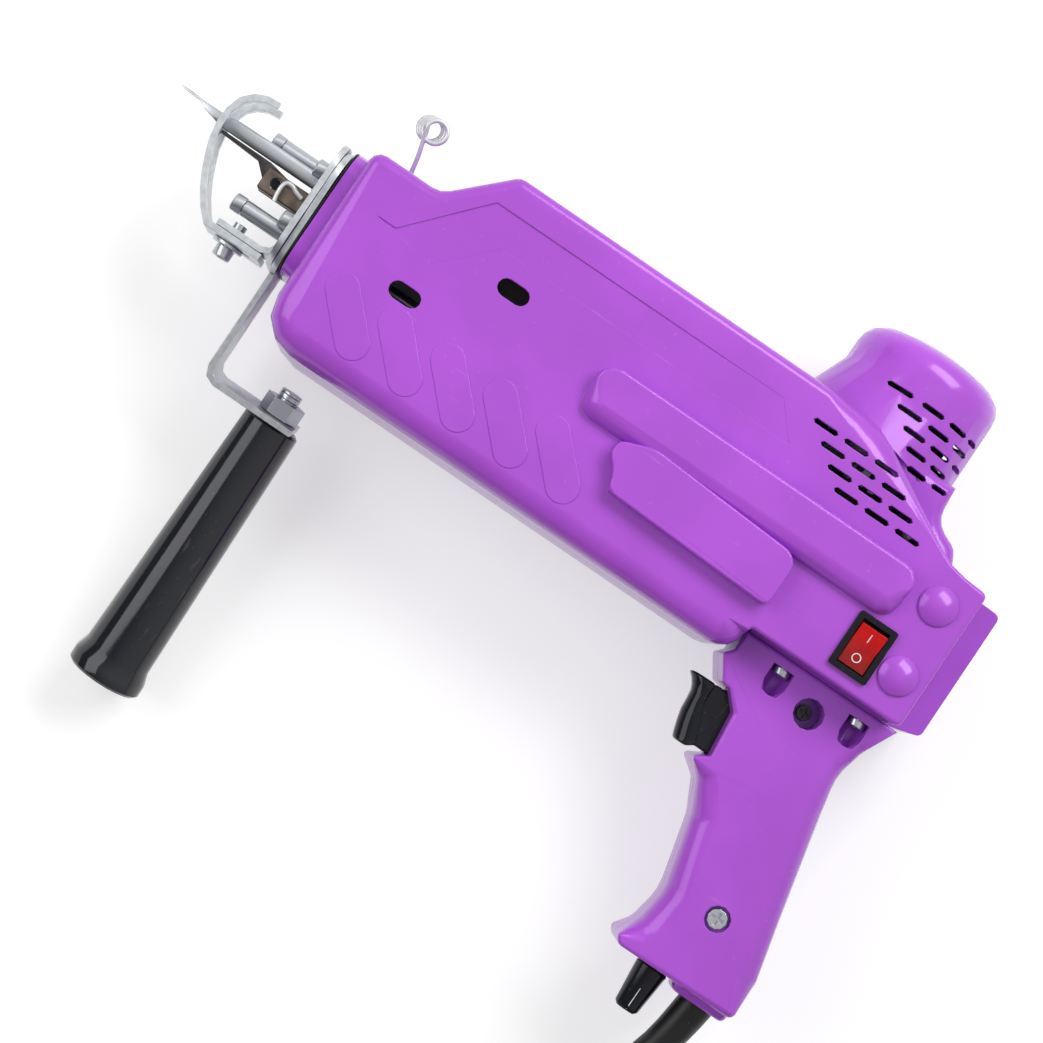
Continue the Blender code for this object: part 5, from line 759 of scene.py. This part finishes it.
def finger_trigger(finish):
    """Trigger with a rounded finger bar, a hooked top and a thinner flat web behind it."""
    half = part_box("trigger")[1].z - SEAM_LEVEL
    rings = []
    for y, front, rear, share in TRIGGER_BAR:
        ring = []
        for step in range(TRIGGER_SIDES + 1):
            turn = math.pi * (step / TRIGGER_SIDES - 1 / 2)
            across, out = (flattened(side, TRIGGER_FLATNESS) for side in (math.sin(turn), math.cos(turn)))
            x = rear - (rear - front) * out
            ring.append(Vector((x * MM, y * MM, SEAM_LEVEL + half * share * across)))
        rings.append(ring)
    web = softened(in_metres(TRIGGER_WEB), WEB_CORNER)
    plate = pillow(web, SEAM_LEVEL, SEAM_LEVEL + half - TRIGGER_STEP, WEB_EDGE)
    stacks = [rings, plate, mirrored(plate)]
    piece = lofted("finger_trigger", stacks, finish, sharp=50, body="trigger_lever")
    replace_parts(piece, "trigger")


def yarn_eyelet(finish):
    """Yarn guide bent from wire: a foot on the top edge, a leg, and leaning turns behind it."""
    low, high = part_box("yarn_guide")
    foot, slope = low.y + GUIDE_WIRE, high.x - GUIDE_WIRE * 2 / 3
    near = Vector((low.x + GUIDE_NEAR[0], high.y + GUIDE_NEAR[1], high.z - GUIDE_WIRE))
    far = Vector((low.x + GUIDE_FAR[0], high.y + GUIDE_FAR[1], low.z + GUIDE_WIRE))
    stand = near.x + GUIDE_SETBACK
    route = []
    for start, bends in ((slope, GUIDE_FOOT), (stand, GUIDE_LEG)):
        route += [(start + x * MM, foot + y * MM, far.z) for x, y in bends]
    route.append((stand + GUIDE_CROSSING[0], foot + GUIDE_CROSSING[1], (near.z + far.z) / 2))
    turns = []
    count = round(LOOP_POINTS * GUIDE_TURNS)
    for index in range(count + 1):
        turn = GUIDE_START - 2 * math.pi * index / LOOP_POINTS
        out = Vector((math.cos(turn), math.sin(turn), 0)) * GUIDE_EYE
        turns.append(near.lerp(far, index / count) + out)
    route = smooth_route([*route, tuple(turns[0])], GUIDE_STEPS) + turns[1:]
    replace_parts(wire("yarn_eyelet", route, GUIDE_WIRE, finish), "yarn_guide")


def hook_wire(finish):
    """Bent wire hook on the cutter holder's face."""
    low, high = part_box("thread_hook")
    level = (low.z + high.z) / 2
    route = smooth_route([(x * MM, y * MM, level) for x, y in HOOK_ROUTE], ROUTE_STEPS)
    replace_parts(wire("hook_wire", route, HOOK_WIRE, finish), "thread_hook")


def foot_collar(finish):
    """Rounded collar under the grip's foot, round the lead's boot."""
    outline = []
    for out in directions(ROUND_STEPS, math.pi / ROUND_STEPS):
        x = COLLAR_MIDDLE + COLLAR_HALF[0] * flattened(out.x, COLLAR_FLATNESS)
        z = SEAM_LEVEL + COLLAR_HALF[1] * flattened(out.y, COLLAR_FLATNESS)
        outline.append(Vector((x, z)))
    rings = []
    for level, inset in COLLAR_STEPS:
        rings.append([Vector((point.x, level * MM, point.y)) for point in shrunk(outline, inset * MM)])
    lofted("foot_collar", [rings], finish, sharp=60)


def lead_boot(finish):
    """Smooth rubber boot that leads the cable out of the collar."""
    rounds = directions(ROUND_STEPS)
    rings = []
    for x, y, radius in in_metres(BOOT_STEPS):
        rings.append([Vector((x + radius * out.x, y, SEAM_LEVEL + radius * out.y)) for out in rounds])
    piece = lofted("lead_boot", [rings], finish, sharp=60)
    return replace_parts(piece, "strain_relief")


def seamless_group():
    """Node group that welds a node's triangles and shades it smooth up to the facet angle."""
    group = bpy.data.node_groups.new("smooth_facets", "GeometryNodeTree")
    for way in ("INPUT", "OUTPUT"):
        group.interface.new_socket("Geometry", in_out=way, socket_type="NodeSocketGeometry")
    kinds = (
        "NodeGroupInput", "GeometryNodeMergeByDistance", "GeometryNodeRemoveAttribute",
        "GeometryNodeSetShadeSmooth", "GeometryNodeSetShadeSmooth", "NodeGroupOutput",
    )
    row = [group.nodes.new(kind) for kind in kinds]
    for one, two in zip(row, row[1:]):
        group.links.new(one.outputs[0], two.inputs[0])
    _, weld, clear, faces, edges, _ = row
    weld.inputs["Distance"].default_value = WELD_REACH
    clear.inputs["Name"].default_value = "custom_normal"
    faces.domain, edges.domain = "FACE", "EDGE"
    angle = group.nodes.new("GeometryNodeInputMeshEdgeAngle")
    below = group.nodes.new("FunctionNodeCompare")
    below.data_type, below.operation = "FLOAT", "LESS_THAN"
    below.inputs["B"].default_value = FACET_ANGLE
    group.links.new(angle.outputs["Unsigned Angle"], below.inputs["A"])
    group.links.new(below.outputs[0], edges.inputs["Shade Smooth"])
    return group


def dress(finish_material, *names):
    """Gives CAD nodes a finish and smooth facets."""
    group = bpy.data.node_groups.get("smooth_facets") or seamless_group()
    for name in names:
        item = NODES[name]
        item.data.materials.clear()
        item.data.materials.append(finish_material)
        weld = item.modifiers.new("smooth_facets", "NODES")
        weld.node_group = group
        even = item.modifiers.new("even_faces", "WEIGHTED_NORMAL")
        even.keep_sharp = True
        even.weight = FACE_WEIGHT


def new_piece(name, form, material, body):
    """Turns a bmesh into a piece that rides on a body."""
    data = bpy.data.meshes.new(name)
    bmesh.ops.recalc_face_normals(form, faces=form.faces)
    form.to_mesh(data)
    form.free()
    data.materials.append(material)
    return placed(name, data, body)


def printed(name, strip, closed, node, lift, material, body):
    """Thin print: a strip of point pairs laid on a CAD node from above, in and out by the lift."""
    data = NODES[node].data
    corners = [vertex.co.copy() for vertex in data.vertices]
    tree = BVHTree.FromPolygons(corners, [tuple(face.vertices) for face in data.polygons])
    down = Vector((0, 0, -1))
    rings = []
    for pair in strip:
        hits = [tree.ray_cast(Vector(point) - down * PRINT_REACH, down) for point in pair]
        if any(place is None for place, _, _, _ in hits):
            raise ValueError(f"{name} has no surface under it")
        top, low = ([place + normal * level for place, normal, _, _ in hits] for level in (lift, -lift))
        rings.append([*top, *reversed(low)])
    form = bmesh.new()
    joined(form, rings, closed)
    return new_piece(name, form, material, body)


def smooth_route(points, steps):
    """Points of a smooth curve through a route's points."""
    route = [Vector(point) for point in points]
    route = [2 * route[0] - route[1], *route, 2 * route[-1] - route[-2]]
    smooth = []
    for p0, p1, p2, p3 in zip(route, route[1:], route[2:], route[3:]):
        for step in range(steps):
            t = step / steps
            bend = 2 * p0 - 5 * p1 + 4 * p2 - p3
            twist = 3 * p1 - p0 - 3 * p2 + p3
            smooth.append((2 * p1 + (p2 - p0) * t + bend * t * t + twist * t * t * t) / 2)
    return smooth + [Vector(points[-1])]


def coil_route(lead):
    """Route of the coil: in on the lower layer, up in half a turn, out on the upper one."""
    centre = Vector((*COIL_CENTRE, 0))
    low, high = lead.radius, lead.radius + lead.pitch
    total = 2 * lead.turns + 1 / 4
    count = round(total * LOOP_POINTS)
    points = []
    for index in range(count + 1):
        turn = total * index / count
        climb = min(max((turn - lead.turns) * 2, 0), 1)
        wound_in = lead.turns + 1 / 4 - abs(turn - lead.turns - 1 / 4)
        radius = lead.outer - wound_in * lead.pitch
        angle = -2 * math.pi * turn
        rise = low + (high - low) * (1 - math.cos(math.pi * climb)) / 2
        points.append(centre + Vector((radius * math.cos(angle), radius * math.sin(angle), rise)))
    points.insert(0, points[0] + Vector((0, 2 * lead.radius, 0)))
    points.append(points[-1] - Vector((lead.tail, 0, 0)))
    return points


def lead_tube(lead, material):
    """The whole lead as one curve from the boot to the plug."""
    coil = coil_route(lead)
    points = smooth_route([*LEAD_ROUTE, tuple(coil[0])], ROUTE_STEPS) + coil[1:]
    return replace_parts(wire("mains_lead", points, lead.radius, material), "cord", "cord_coil")


def coil_strap(lead, material):
    """Hook and loop strap round the coil's turns, with its loose end lapped on top."""
    inner = lead.outer - (lead.turns + 1 / 4) * lead.pitch - lead.radius
    outer = lead.outer + lead.radius
    height = 2 * lead.radius + lead.pitch
    thick, play, bend = STRAP
    x_low, x_high = COIL_CENTRE[0] - outer - play, COIL_CENTRE[0] - inner + play
    left, right, low, high = x_low + bend, x_high - bend, thick + bend, height + play - bend
    ring = []
    for quarter, (x, z) in enumerate(((right, high), (left, high), (left, low), (right, low))):
        for step in range(CORNER_STEPS + 1):
            turn = math.pi / 2 * (quarter + step / CORNER_STEPS)
            ring.append((x, z, math.cos(turn), math.sin(turn)))
    width = lead.tie_width / 2
    loops = []
    for reach, side in ((bend, -width), (bend, width), (bend + thick, width), (bend + thick, -width)):
        y = COIL_CENTRE[1] + side
        loops.append([(x + reach * c, y, z + reach * s) for x, z, c, s in ring])
    form = bmesh.new()
    joined(form, loops, True)
    middle = ((x_low + x_high) / 2, COIL_CENTRE[1], height + play + 3 / 2 * thick)
    size = ((x_high - x_low) * STRAP_END[0], lead.tie_width * STRAP_END[1], thick)
    bmesh.ops.create_cube(form, size=1, matrix=Matrix.LocRotScale(Vector(middle), None, Vector(size)))
    item = new_piece("coil_strap", form, material, "machine")
    soft = item.modifiers.new("soft_edges", "BEVEL")
    soft.width = 0.3 * MM
    soft.segments = 2
    return item


class TUFTING_OT_housing(bpy.types.Operator):
    """Finish both halves of the body and of the grip"""

    bl_idname = "tufting.housing"
    bl_label = "Housing"

    def execute(self, context):
        settings = context.scene.tufting_finish
        plastic = moulded_housing(settings)
        dress(plastic, "left_shell", "right_shell", "grip_left", "grip_right")
        low_rail_skin(plastic, settings.skin)
        dome_skins(plastic)
        oval_pads(plastic, settings.skin)
        band_fade(plastic)
        seam_rib(plastic)
        foot_collar(plastic)
        return {"FINISHED"}


class TUFTING_OT_controls(bpy.types.Operator):
    """Finish trigger, power switch and speed knob"""

    bl_idname = "tufting.controls"
    bl_label = "Controls"

    def execute(self, context):
        settings = context.scene.tufting_finish
        black = black_gloss(settings, "black_moulding", 0.24)
        dress(black, "trigger_switch", "speed_knob")
        finger_trigger(black)
        dress(black_gloss(settings, "switch_frame", 0.14), "rocker_bezel")
        dress(rocker_red(settings), "rocker")
        return {"FINISHED"}


class TUFTING_OT_marks(bpy.types.Operator):
    """Print the on and off marks, and lay a painted highlight as a white line on the speed knob"""

    bl_idname = "tufting.marks"
    bl_label = "Printed marks"

    def execute(self, context):
        marks = context.scene.tufting_marks
        ink = white_print_and_highlight(context.scene.tufting_finish)
        half = marks.stroke / 2

        def bar(x, start, length, level, steps):
            """Pairs of points along a straight mark."""
            places = [start + length * step / steps for step in range(steps + 1)]
            return [((x - half, y, level), (x + half, y, level)) for y in places]

        low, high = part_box("rocker")
        x, quarter = (low.x + high.x) / 2, (high.y - low.y) / 4
        stroke = bar(x, high.y - quarter - marks.bar_length / 2, marks.bar_length, high.z, BAR_STEPS)
        printed("on_mark", stroke, False, "rocker", marks.lift, ink, "switch_rocker")
        middle = Vector((x, low.y + quarter, high.z))
        edges = (marks.ring_radius - half, marks.ring_radius + half)
        ring = [[middle + out.to_3d() * radius for radius in edges] for out in directions(ROUND_STEPS)]
        printed("off_mark", ring, True, "rocker", marks.lift, ink, "switch_rocker")
        # Painted highlight: a white line laid along the speed knob like a print.
        low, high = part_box("speed_knob")
        line = bar((low.x + high.x) / 2, low.y + PAINTED_HIGHLIGHT_START, marks.painted_highlight_length, high.z, PAINTED_HIGHLIGHT_STEPS)
        printed("knob_painted_highlight", line, False, "speed_knob", marks.lift, ink, "knob")
        return {"FINISHED"}


class TUFTING_OT_drive(bpy.types.Operator):
    """Finish the motor, gears, crank, rod and bushes inside the body"""

    bl_idname = "tufting.drive"
    bl_label = "Drive train"

    def execute(self, context):
        settings = context.scene.tufting_finish
        dress(sand_casting(settings), "main_frame", "slider_block")
        dress(bush_brass(settings), "front_bush", "rear_bush")
        dress(dark_steel(settings, "gear_steel"), "motor", "drive_gear", "gear_bearing")
        bright = ground_steel(settings)
        dress(bright, "motor_shaft", "crank_pin", "wrist_pin", "needle_bar", "cutter_rod", "connecting_rod")
        dress(board_lacquer(settings), "speed_board")
        return {"FINISHED"}


class TUFTING_OT_head(bpy.types.Operator):
    """Finish the plates, posts, foot, cutter, needle and yarn guide"""

    bl_idname = "tufting.head"
    bl_label = "Tufting head"

    def execute(self, context):
        settings = context.scene.tufting_finish
        zinc = zinc_sheet(settings)
        dress(zinc, "foot_bracket", "presser_foot", "foot_washer", "handle_bracket")
        bright = ground_steel(settings)
        hollow_needle(bright)
        drawn = ground_steel(settings, "drawn_wire", settings.wire_colour, 0.5)
        yarn_eyelet(drawn)
        hook_wire(drawn)
        dress(
            bright, "post_upper", "post_lower", "plate_screw_1", "plate_screw_2", "plate_screw_3",
            "post_screw_upper", "post_screw_lower", "flange_screw_front", "flange_screw_rear", "foot_bolt",
            "handle_bolt", "handle_nut", "yarn_guide_screw", "potentiometer", "grip_screw_low",
        )
        dress(dark_steel(settings), "needle_clamp_screw", "moving_blade", "fixed_blade", "grip_screw_high")
        # Painted shade: the steel pivot takes the black plastic's colour, as dark as the hole it sits in.
        dress(dark_steel(settings, "pivot_painted_shade", settings.black_colour), "blade_pivot")
        dress(dark_steel(settings, "heat_treated_holder", settings.holder_colour), "cutter_holder")
        dress(lead_rubber(settings), "nose_gasket")
        return {"FINISHED"}


class TUFTING_OT_handle(bpy.types.Operator):
    """Finish the swinging handle"""

    bl_idname = "tufting.handle"
    bl_label = "Front handle"

    def execute(self, context):
        dress(black_gloss(context.scene.tufting_finish), "handle_grip")
        return {"FINISHED"}


class TUFTING_OT_lead(bpy.types.Operator):
    """Make the mains lead with its coil and strap, and finish boot and plug"""

    bl_idname = "tufting.lead"
    bl_label = "Mains lead"

    def execute(self, context):
        lead = context.scene.tufting_lead
        rubber = lead_rubber(context.scene.tufting_finish)
        dress(rubber, "plug")
        boot = lead_boot(rubber)
        tube = lead_tube(lead, rubber)
        strap = coil_strap(lead, strap_weave(context.scene.tufting_finish))
        return {"FINISHED"}


class TUFTING_OT_studio(bpy.types.Operator):
    """Set up the pale floor, the soft lamps and the camera"""

    bl_idname = "tufting.studio"
    bl_label = "Studio"

    def lamp(self, name, power, size, place, target):
        """Soft rectangular lamp that looks at a point."""
        data = bpy.data.lights.new(name, "AREA")
        data.energy = power
        data.shape = "RECTANGLE"
        data.size, data.size_y = size
        item = added(name, data)
        item.location = place
        item.rotation_euler = (Vector(target) - Vector(place)).to_track_quat("-Z", "Y").to_euler()

    def seen(self, made, *rays):
        """1 for rays of the named kinds."""
        first, *others = [made.node("ShaderNodeLightPath", {}, {}, f"Is {ray} Ray") for ray in rays]
        for other in others:
            first = first.larger(other)
        return first

    def floor(self, studio):
        """Pale paper floor that keeps the object's shadow."""
        data = bpy.data.meshes.new("paper_floor")
        data.from_pydata([(-4, -4, 0), (4, -4, 0), (4, 4, 0), (-4, 4, 0)], [], [(0, 1, 2, 3)])
        made = Finish("paper")
        tone = made.mix(made.noise(3.2, 3, 0.5), (0.60, 0.60, 0.605), (0.66, 0.66, 0.66))
        paper = made.node("ShaderNodeBsdfDiffuse", {}, {"Color": tone})
        glow = made.node("ShaderNodeEmission", {}, {"Color": WHITE, "Strength": studio.floor_glow})
        both = made.node("ShaderNodeAddShader", {}, {0: paper, 1: glow})
        pale = self.seen(made, "Camera", "Glossy", "Transmission")
        shown = made.node("ShaderNodeMixShader", {}, {0: pale, 1: paper, 2: both})
        made.node("ShaderNodeOutputMaterial", {}, {"Surface": shown})
        data.materials.append(made.material)
        added("paper_floor", data)

    def sky(self, studio):
        """Even light from all round; mirrors see a white room with a greyer side."""
        made = Finish("white_room", kind=bpy.data.worlds)

        def background(tone, strength):
            return made.node("ShaderNodeBackground", {}, {"Color": tone, "Strength": strength})

        def chosen(rays, one, two):
            """The second shader for rays of the named kinds, and the first for all others."""
            return made.node("ShaderNodeMixShader", {}, {0: self.seen(made, *rays), 1: one, 2: two})

        light, white = background(WHITE, studio.sky_strength), background(WHITE, ROOM_STRENGTH)
        way = made.node("ShaderNodeTexCoord", {}, {}, "Generated")
        lit = made.along(way, ROOM_BRIGHT_SIDE)
        room = background(made.mix(lit.between(-0.25, 0.55), (0.16, 0.16, 0.17), WHITE), ROOM_STRENGTH)
        shown = chosen(("Camera", "Transmission"), chosen(("Glossy",), light, room), white)
        made.node("ShaderNodeOutputWorld", {}, {"Surface": shown})
        bpy.context.scene.world = made.material

    def camera(self, studio):
        """Camera almost straight above the machine, turned as in the photograph."""
        data = bpy.data.cameras.new("camera")
        data.sensor_width = 36
        data.lens = studio.focal_length
        data.clip_start, data.clip_end = 0.05, 20
        item = added("camera", data)
        right, up = Vector(CAMERA_RIGHT), Vector(CAMERA_UP)
        turn = Matrix((right, up, right.cross(up))).transposed().to_4x4()
        item.matrix_world = Matrix.Translation(CAMERA_PLACE) @ turn
        bpy.context.scene.camera = item

    def execute(self, context):
        studio = context.scene.tufting_studio
        self.floor(studio)
        self.sky(studio)
        self.lamp("key", studio.key_power, *KEY_LAMP)
        self.lamp("fill", studio.fill_power, *FILL_LAMP)
        self.camera(studio)
        context.scene.view_settings.view_transform = "Standard"
        return {"FINISHED"}


ORDER = ("studio", "lead", "housing", "controls", "marks", "drive", "head", "handle")


class TUFTING_PT_sidebar(bpy.types.Panel):
    """Sizes, colours and steps of the tufting machine"""

    bl_idname = "TUFTING_PT_sidebar"
    bl_label = "Tufting machine"
    bl_space_type = "VIEW_3D"
    bl_region_type = "UI"
    bl_category = "Tufting"

    def draw(self, context):
        for settings, group in GROUPS.items():
            box = self.layout.box()
            for name in group.__annotations__:
                box.prop(getattr(context.scene, settings), name)
        column = self.layout.column(align=True)
        for step in ORDER:
            column.operator("tufting." + step)


GROUPS = {
    "tufting_finish": TuftingFinishSettings,
    "tufting_lead": TuftingLeadSettings,
    "tufting_marks": TuftingMarkSettings,
    "tufting_studio": TuftingStudioSettings,
}
CLASSES = (
    *GROUPS.values(), TUFTING_OT_housing, TUFTING_OT_controls, TUFTING_OT_marks, TUFTING_OT_drive,
    TUFTING_OT_head, TUFTING_OT_handle, TUFTING_OT_lead, TUFTING_OT_studio, TUFTING_PT_sidebar,
)


def register():
    for item in CLASSES:
        bpy.utils.register_class(item)
    for name, group in GROUPS.items():
        setattr(bpy.types.Scene, name, PointerProperty(type=group))


def unregister():
    for name in GROUPS:
        delattr(bpy.types.Scene, name)
    for item in reversed(CLASSES):
        bpy.utils.unregister_class(item)


def main():
    """Builds every group of pieces in order."""
    register()
    for step in ORDER:
        getattr(bpy.ops.tufting, step)()
    bpy.context.view_layer.update()


if __name__ == "__main__":
    main()
